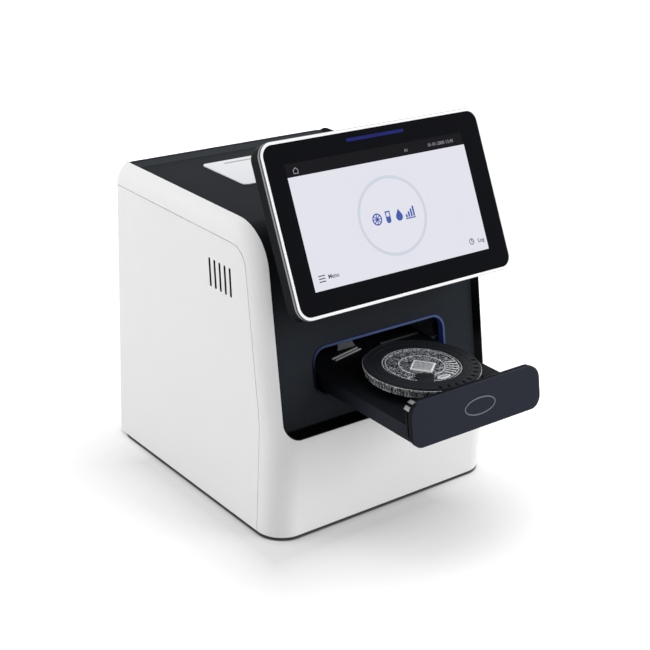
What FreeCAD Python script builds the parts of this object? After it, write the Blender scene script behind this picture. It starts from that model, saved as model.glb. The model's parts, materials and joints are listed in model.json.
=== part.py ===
import FreeCAD, Part
import math
import os

V = FreeCAD.Vector
os.makedirs("parts", exist_ok=True)

# Benchtop chemistry analyzer with a rotor drawer and a tilting display, in millimetres.
# The drawer stands open. The origin lies on the bench under the middle of the whole object:
# X to the right, front towards -Y, Z up.

# Whole body
body_width = 202.0
body_depth = 209.5
body_top = 223.4           # the flat top, carried out over the rounded sides
foot_height = 2.5
corner_radius = 20.0
rear_round = 8.0           # rounding of the body's rear edge
shell_wall = 2.5
front_lean = 11.18         # degrees that the upper front leans back
lean_start = 75.8          # height where the front begins to lean
lean_blend = 60.0          # radius of the bend where the lean begins
brow_radius = 37.6         # radius where the front turns into the top
overrun = 5.0              # how far a cut runs past what it cuts
seat_gap = 0.1             # clearance between pieces that are fitted together
match_share = 0.01         # how closely an edge's place has to match, as a share

# Opening in the white shell, and the dark cover that fills it
shell_rim = 8.6            # white shell beside the opening, each side
opening_low = 76.4
opening_corner = 12.0
cover_depth = 8.6          # cover face below the body's outer surface
cover_wall = 2.4
cover_draft = 3.0          # how far the recess walls slope inwards
rim_step = 0.3             # cover rim below the white surface
rim_land = 0.5             # flat edge of the cover before its wall slopes down
rim_depth = 3.4            # depth of the rounded rim below the flat top
lip_drop = 6.2             # rear lip of the cover below the flat top
lip_width = 4.2
lip_slope = 5.2
cover_tail = 9.0           # height of the cover's turned-down rear edge

# Side panels and vents
seam_front = 20.9
seam_lean = 10.6           # degrees that the side seam leans back
seam_lean_start = 84.5
seam_top = 204.0
seam_radius = 16.0
seam_gap = 0.5
seam_reach = 40.0          # side panels lie within this distance of the sides
vent_count = 5
vent_width = 2.2
vent_height = 20.5
vent_pitch = 6.8
vent_back = 70.0
vent_level = 175.8

# Plate on the top cover
plate_half = 42.5
plate_rear_gap = 28.5      # between the plate and the body's rear
plate_length = 56.0
plate_corner = 4.0
plate_thick = 0.8

# Slot and its light ring
slot_half = 58.7
slot_low = 98.4
slot_high = 129.8
slot_corner = 9.8
ring_width = 1.9
ring_proud = 0.6
ring_tail = 2.0            # how far the ring runs on behind the cover

# Drawer
face_gap = 0.9             # between the face plate and the slot all round
face_thick = 3.2
groove_depth = 1.2
groove_inset = 2.0
flange_thick = 1.8
flange_inset = 0.5
drawer_travel = 98.0
tray_half = 54.0
tray_low = 101.5
tray_high = 111.5
tray_reach = 60.0          # back end of the tray behind the body's front, drawer open
tray_corner = 3.0
mark_offset = 2.0
mark_half = 13.9
mark_rise = 6.0
mark_proud = 0.2
mark_line = 0.9

# Drawer slides
slider_out = 4.0
slider_low = 104.5
slider_high = 108.5
slider_length = 34.0
slide_gap = 0.3
rail_front = 24.0
rail_rear_gap = 46.7
rail_lip = 2.6             # metal above and below the groove
rail_offset = 1.0          # between the tray's side and the rail

# Rack and pinion
tooth_module = 1.0
pinion_teeth = 16
rack_spare_teeth = 4       # teeth beyond those that the travel needs
pressure_angle = 20.0
backlash = 0.16
root_share = 1.25          # depth of a tooth below the pitch line, in modules
rack_half = 3.0
rack_tail = 4.0            # rack behind the pinion's axis, less one pitch
rack_centre = 33.0
rack_bar = 2.6
rack_room = 0.3            # clearance above the rack in its channel
pinion_back = 40.0         # pinion axis behind the body's front
pinion_half = 2.6
pinion_collar = 3.4
pinion_collar_length = 1.5
shaft_radius = 1.5
shaft_fit = 0.05
shaft_bearing = 5.0
gearbox_length = 9.0
gearbox_gap = 0.6
gearbox_half_y = 6.0
gearbox_half_z = 5.0
motor_radius = 4.8
motor_length = 12.0
motor_mount_half = 7.0
flank_steps = 4

# Small metal pieces on the tray's back end
stop_bar_start = 14.0
stop_bar_stop = 50.0
stop_bar_width = 1.4
stop_bar_rise = 1.2
stop_bar_from_end = 26.1
flag_start = -19.0
flag_stop = -3.0
flag_rise = 5.2
flag_slant = 3.0
flag_thick = 1.0
flag_foot = 4.0
flag_from_end = 18.6
strip_length = 28.0
strip_width = 1.1
strip_rise = 0.9
strip_pitch = 3.0
strip_shift = -17.3
strip_turn = 12.4          # degrees
strip_from_end = 26.6

# Rotor and spindle
rotor_behind_face = 55.8   # rotor axis behind the drawer's face
rotor_radius = 40.8
rotor_top = 123.0
rotor_low = 115.6
ring_inner = 27.7
ring_thick = 2.0
cuvette_count = 30
cuvette_depth = 2.4
cuvette_width = 5.0
cuvette_roof = 1.2         # solid band above and below the cuvettes
base_inset = 0.6
plateau_drop = 0.7
plateau_gap = 0.3
port_back = -16.6
port_side = -12.0
port_radius = 4.6
port_length = 4.0
port_rise = 0.9
foil_side = 14.5
foil_thick = 0.4
foil_turn = 44.0
foil_back = -3.3
foil_shift = -1.5
hole_count = 36
hole_radius = 1.0
hole_circle = 36.7
well_radius = 44.0
well_depth = 1.0
spindle_radius = 17.0
spindle_low = 103.5
spindle_rise = 0.6         # motor top above the well floor
hub_radius = 12.0
hub_lift = 0.3
boss_radius = 6.0
boss_height = 3.0
boss_fit = 0.08
hub_shaft = 2.0
hub_shaft_depth = 4.5

# Inner frame
base_thick = 2.0
foot_radius = 8.0
foot_inset_x = 24.0
foot_inset_y = 26.0
frame_inner = 63.0
frame_thick = 2.0
frame_front = 32.0
frame_rear_gap = 26.0
frame_top = 150.0
deck_level = 82.5
deck_thick = 2.0
deck_front = 22.0
roof_level = 131.5
roof_thick = 3.0
roof_length = 100.0
heater_thick = 1.2
heater_inset = 6.0

# Light path modules on the roof
lamp_half = 12.0
lamp_depth = 20.0
lamp_height = 20.0
lamp_side = 44.0
lens_radius = 4.0
lens_length = 3.0
optics_half = 26.0
optics_depth = 50.0
optics_height = 28.0
optics_back = 80.0
reader_half = 9.0
reader_depth = 24.0
reader_height = 14.0
reader_side = -46.0
reader_back = 44.0

# Boards and supply
board_thick = 1.6
board_gap = 6.0
board_front = 50.0
board_rear_gap = 36.7
board_low = 12.0
board_height = 120.0
standoff_radius = 2.5
standoff_inset = 8.0
supply_side_gap = 5.4      # between the supply and the side wall
supply_length = 90.0
supply_height = 52.0
supply_rear_gap = 34.0

# Rear panel fittings
fan_side = 40.0
fan_depth = 10.0
fan_shift = -40.0
fan_level = 150.0
fan_bore = 18.6
fan_tip = 17.8
fan_hub = 8.0
fan_blades = 7
fan_blade_thick = 1.4
fan_blade_pitch = 32.0
fan_blade_depth = 4.6
fan_blade_root = 1.6       # how far a blade reaches into the hub
fan_arms = 3
fan_arm = 2.4
fan_boss = 6.0
fan_boss_depth = 2.4
fan_hub_depth = 6.4
fan_hub_gap = 0.4
fan_shaft = 1.5
grille_slots = 7
grille_slot = 2.6
grille_pitch = 5.0
grille_radius = 17.5
fitting_level = 32.0
inlet_from_side = 35.0     # inlet's middle from the body's side
inlet_width = 27.5
inlet_height = 20.0
inlet_depth = 20.0
inlet_flange = 4.0
inlet_cave_width = 24.0
inlet_cave_height = 16.0
inlet_cave_depth = 16.5
inlet_corner = 3.0
pin_length = 10.5
pin_thick = 2.0
pin_tall = 4.0
pin_spread = 7.0
pin_rise = 2.0
switch_from_inlet = 36.0
switch_width = 21.0
switch_height = 15.0
switch_depth = 14.0
switch_flange = 1.5
switch_wall = 1.4
rocker_gap = 0.5
rocker_radius = 8.6
rocker_tilt = 8.0
rocker_axle = 1.2
rocker_axle_depth = 2.6
rocker_proud = 1.2
rocker_depth = 4.6
usb_shift = -8.0
usb_width = 15.0
usb_height = 17.0
usb_depth = 16.0
usb_hole_width = 12.6
usb_hole_height = 5.6
usb_hole_depth = 12.0
usb_spread = 4.0
usb_tongue = 1.8
usb_tongue_side = 0.8
lan_shift = -44.0
lan_width = 16.5
lan_height = 14.0
lan_depth = 18.0
lan_hole_width = 12.2
lan_hole_height = 9.0
lan_hole_depth = 13.0
port_proud = 0.6
screw_radius = 3.2
screw_head = 1.6
screw_shank = 1.5
screw_length = 4.0
screw_inset_x = 12.0
screw_low = 14.0
screw_high = 190.0

# Display, built flat and then tilted: x to the right, y into the display, z up along the glass
display_tilt = 26.44
display_back = 13.48       # glass centre behind the body's front
display_level = 222.06
glass_half_x = 93.1
glass_half_z = 56.4
glass_thick = 1.8
glass_corner = 8.0
trim_width = 2.2
trim_front = 0.4           # front band of the trim, before its groove
trim_groove = 0.6
trim_groove_depth = 0.5
trim_depth = 2.9
trim_ledge = 3.0
trim_chamfer = 0.3
housing_inset = 0.4
housing_depth = 10.5
housing_wall = 2.0
housing_round = 2.6
lcd_half_x = 82.5
lcd_low = -47.0
lcd_high = 48.5
lcd_thick = 4.2
light_half = 25.4
light_low = 49.8
light_tall = 2.6
light_depth = 3.0
display_board_half_x = 60.0
display_board_low = -40.0
display_board_high = 30.0
display_board_thick = 1.2

# Display hinge
axis_depth = 20.0          # hinge axis behind the glass face
axis_drop = 11.4           # and below the glass centre
barrel_radius = 5.0
lug_half = 26.0
lug_drop = 14.0
ear_gap = 0.3
ear_thick = 6.0
ear_radius = 5.5
ear_spread = 7.0
hinge_pin_radius = 2.0
hinge_fit = 0.04
hinge_base_thick = 3.0
hinge_base_reach = 13.0
hinge_base_side = 3.0

# Worked-out places: the body's front stands back from the middle by half the open drawer
half_width = body_width / 2
opening_half = half_width - shell_rim
slot_mid = (slot_low + slot_high) / 2
lean = math.tan(math.radians(front_lean))
lean_cos = math.cos(math.radians(front_lean))
lean_sin = math.sin(math.radians(front_lean))
face_low = slot_low + face_gap
face_high = slot_high - face_gap
face_half = slot_half - face_gap
cover_back_at_face = (face_low - lean_start) * lean + cover_depth / lean_cos
drawer_reach = drawer_travel - cover_back_at_face
front_y = (drawer_reach - body_depth - port_proud) / 2
rear_y = front_y + body_depth
cover_y = front_y + (slot_mid - lean_start) * lean + cover_depth / lean_cos
face_y = cover_y - drawer_travel
flange_y = face_y + face_thick + groove_depth
tray_front_y = flange_y + flange_thick
tray_back_y = front_y + tray_reach
rotor_y = face_y + rotor_behind_face
pinion_y = front_y + pinion_back
pitch_radius = tooth_module * pinion_teeth / 2
pinion_z = tray_low + tooth_module - pitch_radius
base_top = foot_height + base_thick
deck_top = deck_level + deck_thick
frame_outer = frame_inner + frame_thick
panel_front_y = rear_y - shell_wall
frame_rear_y = rear_y - frame_rear_gap
lip_level = body_top - lip_drop
inlet_shift = half_width - inlet_from_side
switch_shift = inlet_shift - switch_from_inlet


def box(x0, x1, y0, y1, z0, z1):
    return Part.makeBox(x1 - x0, y1 - y0, z1 - z0, V(x0, y0, z0))


def rod(radius, length, start, direction):
    return Part.makeCylinder(radius, length, start, direction)


def extruded(wire, path):
    return Part.Face(wire).extrude(path)


def polygon(points):
    return Part.makePolygon(points + points[:1])


def meet(p, d, q, e):
    """Where the line through p along d meets the line through q along e, in the YZ plane."""
    det = d.z * e.y - d.y * e.z
    t = ((q.z - p.z) * e.y - (q.y - p.y) * e.z) / det
    return p + d * t


def rounded_path(points, radii):
    """A closed wire through the points, with an arc of the given radius at each one."""
    arcs = {}
    ends = []
    count = len(points)
    for i in range(count):
        here = points[i]
        radius = radii[i]
        if radius <= 0:
            ends.append((here, here))
            continue
        a = (points[i - 1] - here).normalize()
        b = (points[(i + 1) % count] - here).normalize()
        half = a.getAngle(b) / 2
        reach = radius / math.tan(half)
        start = here + a * reach
        stop = here + b * reach
        middle = here + (a + b).normalize() * (radius / math.sin(half) - radius)
        arcs[i] = Part.Arc(start, middle, stop).toShape()
        ends.append((start, stop))
    edges = []
    for i in range(count):
        if i in arcs:
            edges.append(arcs[i])
        leave = ends[i][1]
        arrive = ends[(i + 1) % count][0]
        if leave.distanceToPoint(arrive) > 0:
            edges.append(Part.LineSegment(leave, arrive).toShape())
    return Part.Wire(edges)


def flat_plate(x0, x1, y0, y1, z0, z1, corner):
    """A level plate with rounded corners."""
    points = [V(x0, y0, z0), V(x1, y0, z0), V(x1, y1, z0), V(x0, y1, z0)]
    return extruded(rounded_path(points, [corner] * len(points)), V(0, 0, z1 - z0))


def upright_plate(x0, x1, z0, z1, y0, y1, corner):
    """An upright plate facing the front, with rounded corners."""
    points = [V(x0, y0, z0), V(x1, y0, z0), V(x1, y0, z1), V(x0, y0, z1)]
    return extruded(rounded_path(points, [corner] * len(points)), V(0, y1 - y0, 0))


def side_profile(inset, back_y, low_z, x):
    """The body's outline seen from the side, drawn in from the outer surface."""
    slope = V(0, lean_sin, lean_cos)
    inward = V(0, lean_cos, -lean_sin)
    on_slope = V(0, front_y, lean_start) + inward * inset
    knee = meet(V(0, front_y + inset, 0), V(0, 0, 1), on_slope, slope)
    peak = meet(V(0, 0, body_top - inset), V(0, 1, 0), on_slope, slope)
    points = [V(0, back_y, low_z), V(0, front_y + inset, low_z), knee, peak, V(0, back_y, peak.z)]
    wire = rounded_path(points, [0, 0, lean_blend - inset, brow_radius - inset, 0])
    wire.translate(V(x, 0, 0))
    return wire


def body_block(inset, half, edge_round, back_y, low_z):
    """The side outline carried across the width, with its long side edges rounded."""
    block = extruded(side_profile(inset, back_y, low_z, -half), V(2 * half, 0, 0))
    if edge_round <= 0:
        return block
    near = edge_round * match_share
    edges = []
    for edge in block.Edges:
        centre = edge.CenterOfMass
        at_side = abs(abs(centre.x) - half) < near
        at_rear = abs(centre.y - back_y) < near
        at_foot = abs(centre.z - low_z) < near
        if at_side and not at_rear and not at_foot:
            edges.append(edge)
    return block.makeFillet(edge_round, edges)


def round_rear(block, radius, low_z):
    """Rounds the rear edge of a body block along its sides and top."""
    near = radius * match_share
    edges = []
    for edge in block.Edges:
        reach = edge.BoundBox
        if abs(reach.YMin - rear_y) < near and abs(reach.YMax - rear_y) < near and reach.ZMax > low_z + near:
            edges.append(edge)
    return block.makeFillet(radius, edges)


def leaning_plate(front_at_mid, thick, low, high, half, corner):
    """A plate that leans with the front, placed by its front face at the slot's middle height."""
    run = (high - low) * lean
    block = upright_plate(-half, half, low, high, front_at_mid - run, front_at_mid + run + thick, corner)
    low_y = front_at_mid + (low - slot_mid) * lean
    high_y = front_at_mid + (high - slot_mid) * lean
    points = [V(-half, low_y, low), V(-half, low_y + thick, low),
              V(-half, high_y + thick, high), V(-half, high_y, high)]
    return block.common(extruded(polygon(points), V(2 * half, 0, 0)))


def opening_prism(inset, low):
    """The opening's width and lower corners, carried from front to rear."""
    half = opening_half - inset
    top = body_top + overrun
    points = [V(-half, 0, low), V(half, 0, low), V(half, 0, top), V(-half, 0, top)]
    wire = rounded_path(points, [opening_corner, opening_corner, 0, 0])
    wire.translate(V(0, front_y - overrun, 0))
    return extruded(wire, V(0, body_depth + 2 * overrun, 0))


def save(name, shape):
    shape = shape.removeSplitter()
    shape.exportStep("parts/" + name + ".step")
    print(name, "solids", len(shape.Solids), "volume", round(shape.Volume, 1), shape.isValid())


# White shell, cut into the wrap, the side panels and the rear panel
outer = round_rear(body_block(0, half_width, corner_radius, rear_y, foot_height), rear_round, foot_height)
inner = body_block(shell_wall, half_width - shell_wall, corner_radius - shell_wall,
                   rear_y - shell_wall, foot_height - overrun)
skin = outer.cut(inner)
rear_slab = box(-half_width - overrun, half_width + overrun, panel_front_y, rear_y + overrun, 0,
                body_top + overrun)


def seam_block(inset, side):
    """What lies beyond the side seam."""
    slope = V(0, math.sin(math.radians(seam_lean)), math.cos(math.radians(seam_lean)))
    knee = V(0, front_y + seam_front + inset, seam_lean_start)
    level = seam_top - inset
    peak = meet(knee, slope, V(0, 0, level), V(0, 1, 0))
    back = panel_front_y - inset
    low = foot_height - overrun * (1 if inset == 0 else 0)
    points = [V(0, back, low), V(0, knee.y, low), knee, peak, V(0, back, level)]
    wire = rounded_path(points, [0, 0, lean_blend, seam_radius, 0])
    wire.translate(V(side * (half_width - seam_reach), 0, 0))
    return extruded(wire, V(side * (seam_reach + overrun), 0, 0))


wrap = skin.cut(opening_prism(0, opening_low)).cut(rear_slab)
for side in (-1, 1):
    wrap = wrap.cut(seam_block(0, side))
save("front_shell", wrap)


def side_panel(side):
    panel = skin.cut(rear_slab).common(seam_block(seam_gap, side))
    for i in range(vent_count):
        y = front_y + vent_back + (i - (vent_count - 1) / 2) * vent_pitch
        half = vent_width / 2
        low = vent_level - vent_height / 2 + half
        high = vent_level + vent_height / 2 - half
        x = side * (half_width - seam_reach)
        path = V(side * (seam_reach + overrun), 0, 0)
        panel = panel.cut(box(min(x, x + path.x), max(x, x + path.x), y - half, y + half, low, high))
        for z in (low, high):
            panel = panel.cut(rod(half, path.Length, V(x, y, z), path))
    return panel


save("left_side_panel", side_panel(-1))
save("right_side_panel", side_panel(1))

# Dark cover: a pan in the opening, with sloping walls down to its recessed face
face_half_width = opening_half - rim_land - cover_draft
rim_half_width = opening_half - rim_land


def cover_core():
    """Everything behind the cover's face and its sloping side walls."""
    back = rear_y + overrun
    low = foot_height - overrun
    core = extruded(side_profile(cover_depth, back, low, -face_half_width),
                    V(2 * face_half_width, 0, 0))
    for side in (-1, 1):
        near = side_profile(cover_depth, back, low, side * face_half_width)
        far = side_profile(rim_depth, back, low, side * rim_half_width)
        core = core.fuse(Part.makeLoft([near, far], True, True))
    return core


recess_low = opening_low + rim_land
recess_side = [
    V(-half_width, front_y - overrun, recess_low),
    V(-half_width, front_y, recess_low),
    V(-half_width, front_y + cover_depth, recess_low + cover_draft),
    V(-half_width, rear_y - lip_width - lip_slope, recess_low + cover_draft),
    V(-half_width, rear_y - lip_width - lip_slope, body_top - cover_depth),
    V(-half_width, rear_y - lip_width, lip_level),
    V(-half_width, rear_y + overrun, lip_level),
    V(-half_width, rear_y + overrun, body_top + overrun),
    V(-half_width, front_y - overrun, body_top + overrun),
]
recess = extruded(polygon(recess_side), V(body_width, 0, 0))
recess = recess.common(opening_prism(rim_land, recess_low)).cut(cover_core())
cover = body_block(rim_step, half_width - rim_step, corner_radius - rim_step, rear_y, foot_height)
cover = round_rear(cover, rear_round - rim_step, foot_height)
cover = cover.common(opening_prism(seat_gap, opening_low + seat_gap)).cut(recess)
cover = cover.cut(body_block(cover_depth + cover_wall, half_width, 0, panel_front_y,
                             foot_height - overrun))
cover = cover.cut(box(-half_width, half_width, panel_front_y - overrun, rear_y + overrun, 0,
                      lip_level - cover_tail))
slot_outer = upright_plate(-slot_half - ring_width, slot_half + ring_width,
                           slot_low - ring_width, slot_high + ring_width,
                           front_y - overrun, front_y + lean_blend, slot_corner + ring_width)
slot_inner = upright_plate(-slot_half, slot_half, slot_low, slot_high,
                           front_y - overrun, front_y + lean_blend, slot_corner)
cover = cover.cut(slot_outer)
save("dark_cover", cover)

ring_grow = ring_width - seat_gap
ring = leaning_plate(cover_y - ring_proud / lean_cos,
                     (ring_proud + cover_wall + ring_tail) / lean_cos,
                     slot_low - ring_grow, slot_high + ring_grow, slot_half + ring_grow,
                     slot_corner + ring_grow)
save("slot_light_ring", ring.cut(slot_inner))

plate_y = rear_y - plate_rear_gap - plate_length
plate_z = body_top - cover_depth
save("cover_plate", flat_plate(-plate_half, plate_half, plate_y, plate_y + plate_length,
                               plate_z, plate_z + plate_thick, plate_corner))

# Rear panel with its cut-outs, and what is fitted in them
rear_panel = outer.common(rear_slab)
rear_panel = rear_panel.cut(box(-opening_half, opening_half, panel_front_y - overrun,
                                rear_y + overrun, lip_level - cover_tail - seat_gap,
                                body_top + overrun))
for x, width, height in ((inlet_shift, inlet_width, inlet_height),
                         (switch_shift, switch_width, switch_height),
                         (usb_shift, usb_width, usb_height), (lan_shift, lan_width, lan_height)):
    rear_panel = rear_panel.cut(box(
        x - width / 2 - seat_gap, x + width / 2 + seat_gap, panel_front_y - overrun,
        rear_y + overrun, fitting_level - height / 2 - seat_gap, fitting_level + height / 2 + seat_gap))
for i in range(grille_slots):
    z = fan_level + (i - (grille_slots - 1) / 2) * grille_pitch
    reach = math.sqrt(grille_radius ** 2 - (z - fan_level) ** 2)
    rear_panel = rear_panel.cut(box(fan_shift - reach, fan_shift + reach, panel_front_y - overrun,
                                    rear_y + overrun, z - grille_slot / 2, z + grille_slot / 2))
screws = []
for side in (-1, 1):
    for z in (screw_low, screw_high):
        x = side * (half_width - screw_inset_x)
        rear_panel = rear_panel.cut(rod(screw_shank + seat_gap, shell_wall + 2 * overrun,
                                        V(x, panel_front_y - overrun, z), V(0, 1, 0)))
        head = rod(screw_radius, screw_head, V(x, rear_y - screw_head / 2, z), V(0, 1, 0))
        rear_panel = rear_panel.cut(rod(screw_radius + seat_gap, screw_head,
                                        V(x, rear_y - screw_head / 2, z), V(0, 1, 0)))
        shank = rod(screw_shank, screw_length, V(x, rear_y - screw_head / 2 - screw_length, z),
                    V(0, 1, 0))
        drive = rod(screw_shank, screw_head, V(x, rear_y, z), V(0, 1, 0))
        screws.append(head.fuse(shank).cut(drive))
save("rear_panel", rear_panel)
save("rear_screws", Part.makeCompound(screws))

inlet_z0 = fitting_level - inlet_height / 2
inlet_z1 = fitting_level + inlet_height / 2
inlet = box(inlet_shift - inlet_width / 2, inlet_shift + inlet_width / 2, rear_y - inlet_depth, rear_y,
            inlet_z0, inlet_z1)
inlet = inlet.fuse(upright_plate(
    inlet_shift - inlet_width / 2 - inlet_flange, inlet_shift + inlet_width / 2 + inlet_flange,
    inlet_z0 - inlet_flange / 2, inlet_z1 + inlet_flange / 2, rear_y, rear_y + port_proud, inlet_corner))
inlet = inlet.cut(upright_plate(
    inlet_shift - inlet_cave_width / 2, inlet_shift + inlet_cave_width / 2,
    fitting_level - inlet_cave_height / 2, fitting_level + inlet_cave_height / 2,
    rear_y + port_proud - inlet_cave_depth, rear_y + overrun, inlet_corner))
save("power_inlet", inlet)
pins = []
cave_floor = rear_y + port_proud - inlet_cave_depth
for shift, rise in ((-pin_spread, -pin_rise), (0, pin_rise), (pin_spread, -pin_rise)):
    x = inlet_shift + shift
    z = fitting_level + rise
    pins.append(box(x - pin_thick / 2, x + pin_thick / 2, cave_floor, cave_floor + pin_length,
                    z - pin_tall / 2, z + pin_tall / 2))
save("inlet_pins", Part.makeCompound(pins))

# Rocker switch: a frame, and a rocker that turns on its axle
switch = box(switch_shift - switch_width / 2, switch_shift + switch_width / 2, rear_y - switch_depth,
             rear_y, fitting_level - switch_height / 2, fitting_level + switch_height / 2)
switch = switch.fuse(box(
    switch_shift - switch_width / 2 - switch_flange, switch_shift + switch_width / 2 + switch_flange,
    rear_y, rear_y + port_proud, fitting_level - switch_height / 2 - switch_flange,
    fitting_level + switch_height / 2 + switch_flange))
room_x = switch_width / 2 - switch_wall
room_z = switch_height / 2 - switch_wall
axle_y = rear_y - rocker_axle_depth
switch = switch.cut(box(switch_shift - room_x, switch_shift + room_x,
                        rear_y - switch_depth + switch_wall, rear_y + overrun,
                        fitting_level - room_z, fitting_level + room_z))
switch = switch.cut(rod(rocker_axle + shaft_fit, 2 * room_z + switch_wall,
                        V(switch_shift, axle_y, fitting_level - room_z - switch_wall / 2), V(0, 0, 1)))
save("switch_frame", switch)
rocker_reach = room_x - rocker_gap
rocker_half_z = room_z - rocker_gap
rocker = rod(rocker_radius, 2 * rocker_half_z, V(switch_shift, axle_y, fitting_level - rocker_half_z),
             V(0, 0, 1))
keep = box(switch_shift - rocker_reach, switch_shift + rocker_reach, axle_y - rocker_depth,
           axle_y + rocker_axle_depth + rocker_proud, fitting_level - rocker_half_z,
           fitting_level + rocker_half_z)
rocker = rocker.common(keep)
top_y = axle_y + rocker_axle_depth + rocker_proud
for side in (-1, 1):
    far = rocker_reach * 2
    drop = far * math.tan(math.radians(rocker_tilt))
    points = [V(switch_shift, top_y - rocker_proud / 2, fitting_level - rocker_half_z),
              V(switch_shift + side * far, top_y - rocker_proud / 2 + drop,
                fitting_level - rocker_half_z),
              V(switch_shift, top_y + drop, fitting_level - rocker_half_z)]
    rocker = rocker.cut(extruded(polygon(points), V(0, 0, 2 * rocker_half_z)))
axle = rod(rocker_axle, 2 * room_z + switch_wall - rocker_gap / 2,
           V(switch_shift, axle_y, fitting_level - room_z - switch_wall / 2 + rocker_gap / 4),
           V(0, 0, 1))
rocker = rocker.fuse(axle)
rocker.rotate(V(switch_shift, axle_y, 0), V(0, 0, 1), -rocker_tilt)
save("power_rocker", rocker)

usb = box(usb_shift - usb_width / 2, usb_shift + usb_width / 2, rear_y - usb_depth, rear_y + port_proud,
          fitting_level - usb_height / 2, fitting_level + usb_height / 2)
for side in (-1, 1):
    z = fitting_level + side * usb_spread
    mouth = rear_y + port_proud - usb_hole_depth
    hole = box(usb_shift - usb_hole_width / 2, usb_shift + usb_hole_width / 2, mouth,
               rear_y + overrun, z - usb_hole_height / 2, z + usb_hole_height / 2)
    tongue = box(usb_shift - usb_hole_width / 2 + usb_tongue_side,
                 usb_shift + usb_hole_width / 2 - usb_tongue_side, mouth, rear_y,
                 z + usb_tongue_side / 2, z + usb_tongue_side / 2 + usb_tongue)
    usb = usb.cut(hole).fuse(tongue)
save("usb_sockets", usb)
lan = box(lan_shift - lan_width / 2, lan_shift + lan_width / 2, rear_y - lan_depth, rear_y + port_proud,
          fitting_level - lan_height / 2, fitting_level + lan_height / 2)
lan = lan.cut(box(lan_shift - lan_hole_width / 2, lan_shift + lan_hole_width / 2,
                  rear_y + port_proud - lan_hole_depth, rear_y + overrun,
                  fitting_level - lan_hole_height / 2, fitting_level + lan_hole_height / 2))
save("network_socket", lan)

# Cooling fan behind the rear panel
fan_back = panel_front_y - seat_gap
fan_front = fan_back - fan_depth
fan_frame = box(fan_shift - fan_side / 2, fan_shift + fan_side / 2, fan_front, fan_back,
                fan_level - fan_side / 2, fan_level + fan_side / 2)
fan_frame = fan_frame.cut(rod(fan_bore, fan_depth, V(fan_shift, fan_front, fan_level), V(0, 1, 0)))
fan_frame = fan_frame.fuse(rod(fan_boss, fan_boss_depth, V(fan_shift, fan_front, fan_level),
                               V(0, 1, 0)))
for i in range(fan_arms):
    arm = box(0, fan_bore + fan_arm / 2, -fan_arm / 2, fan_arm / 2, 0, fan_boss_depth)
    arm.rotate(V(0, 0, 0), V(0, 0, 1), 360 * i / fan_arms)
    arm.rotate(V(0, 0, 0), V(1, 0, 0), -90)
    arm.translate(V(fan_shift, fan_front, fan_level))
    fan_frame = fan_frame.fuse(arm)
fan_hub_y = fan_front + fan_boss_depth + fan_hub_gap
fan_frame = fan_frame.fuse(rod(fan_shaft, fan_hub_gap + fan_hub_depth / 2,
                               V(fan_shift, fan_front + fan_boss_depth, fan_level), V(0, 1, 0)))
save("fan_frame", fan_frame)
fan_rotor = rod(fan_hub, fan_hub_depth, V(fan_shift, fan_hub_y, fan_level), V(0, 1, 0))
for i in range(fan_blades):
    blade = box(fan_hub - fan_blade_root, fan_tip, -fan_blade_thick / 2, fan_blade_thick / 2,
                -fan_blade_depth / 2, fan_blade_depth / 2)
    blade.rotate(V(0, 0, 0), V(1, 0, 0), fan_blade_pitch)
    blade.rotate(V(0, 0, 0), V(0, 0, 1), 360 * i / fan_blades)
    blade.rotate(V(0, 0, 0), V(1, 0, 0), -90)
    blade.translate(V(fan_shift, fan_hub_y + fan_hub_depth / 2, fan_level))
    fan_rotor = fan_rotor.fuse(blade)
fan_rotor = fan_rotor.common(rod(fan_tip, fan_depth, V(fan_shift, fan_front, fan_level), V(0, 1, 0)))
fan_rotor = fan_rotor.cut(rod(fan_shaft + shaft_fit, fan_hub_depth / 2 + shaft_fit,
                              V(fan_shift, fan_hub_y, fan_level), V(0, 1, 0)))
save("fan_rotor", fan_rotor)

# Base plate, feet and the inner frame
base = body_block(shell_wall + seat_gap, half_width - shell_wall - seat_gap,
                  corner_radius - shell_wall - seat_gap, panel_front_y - seat_gap, foot_height)
base = base.common(box(-half_width, half_width, front_y, rear_y, foot_height, base_top))
save("base_plate", base)
feet = []
for side in (-1, 1):
    for y in (front_y + foot_inset_y, rear_y - foot_inset_y):
        feet.append(rod(foot_radius, foot_height, V(side * (half_width - foot_inset_x), y, 0),
                        V(0, 0, 1)))
save("feet", Part.makeCompound(feet))


def frame_plate(side):
    x0, x1 = sorted((side * frame_inner, side * frame_outer))
    return box(x0, x1, front_y + frame_front, frame_rear_y, base_top, frame_top)


save("left_frame_plate", frame_plate(-1))
save("right_frame_plate", frame_plate(1))
save("drive_deck", box(-frame_inner, frame_inner, front_y + deck_front, frame_rear_y, deck_level,
                       deck_top))
roof_y0 = front_y + frame_front
roof = box(-frame_inner, frame_inner, roof_y0, roof_y0 + roof_length, roof_level,
           roof_level + roof_thick)
home_y = rotor_y + drawer_travel
roof = roof.cut(rod(lens_radius + seat_gap, roof_thick + 2 * overrun,
                    V(lamp_side - lamp_half / 2, home_y, roof_level - overrun), V(0, 0, 1)))
save("chamber_roof", roof)
heater = box(-frame_inner + heater_inset, lamp_side - lamp_half - heater_inset,
             roof_y0 + 2 * heater_inset, roof_y0 + roof_length - heater_inset,
             roof_level - heater_thick, roof_level)
save("chamber_heater", heater)
save("chamber_back_wall", box(-frame_inner, frame_inner, frame_rear_y - frame_thick, frame_rear_y,
                              deck_top, roof_level))

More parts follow.
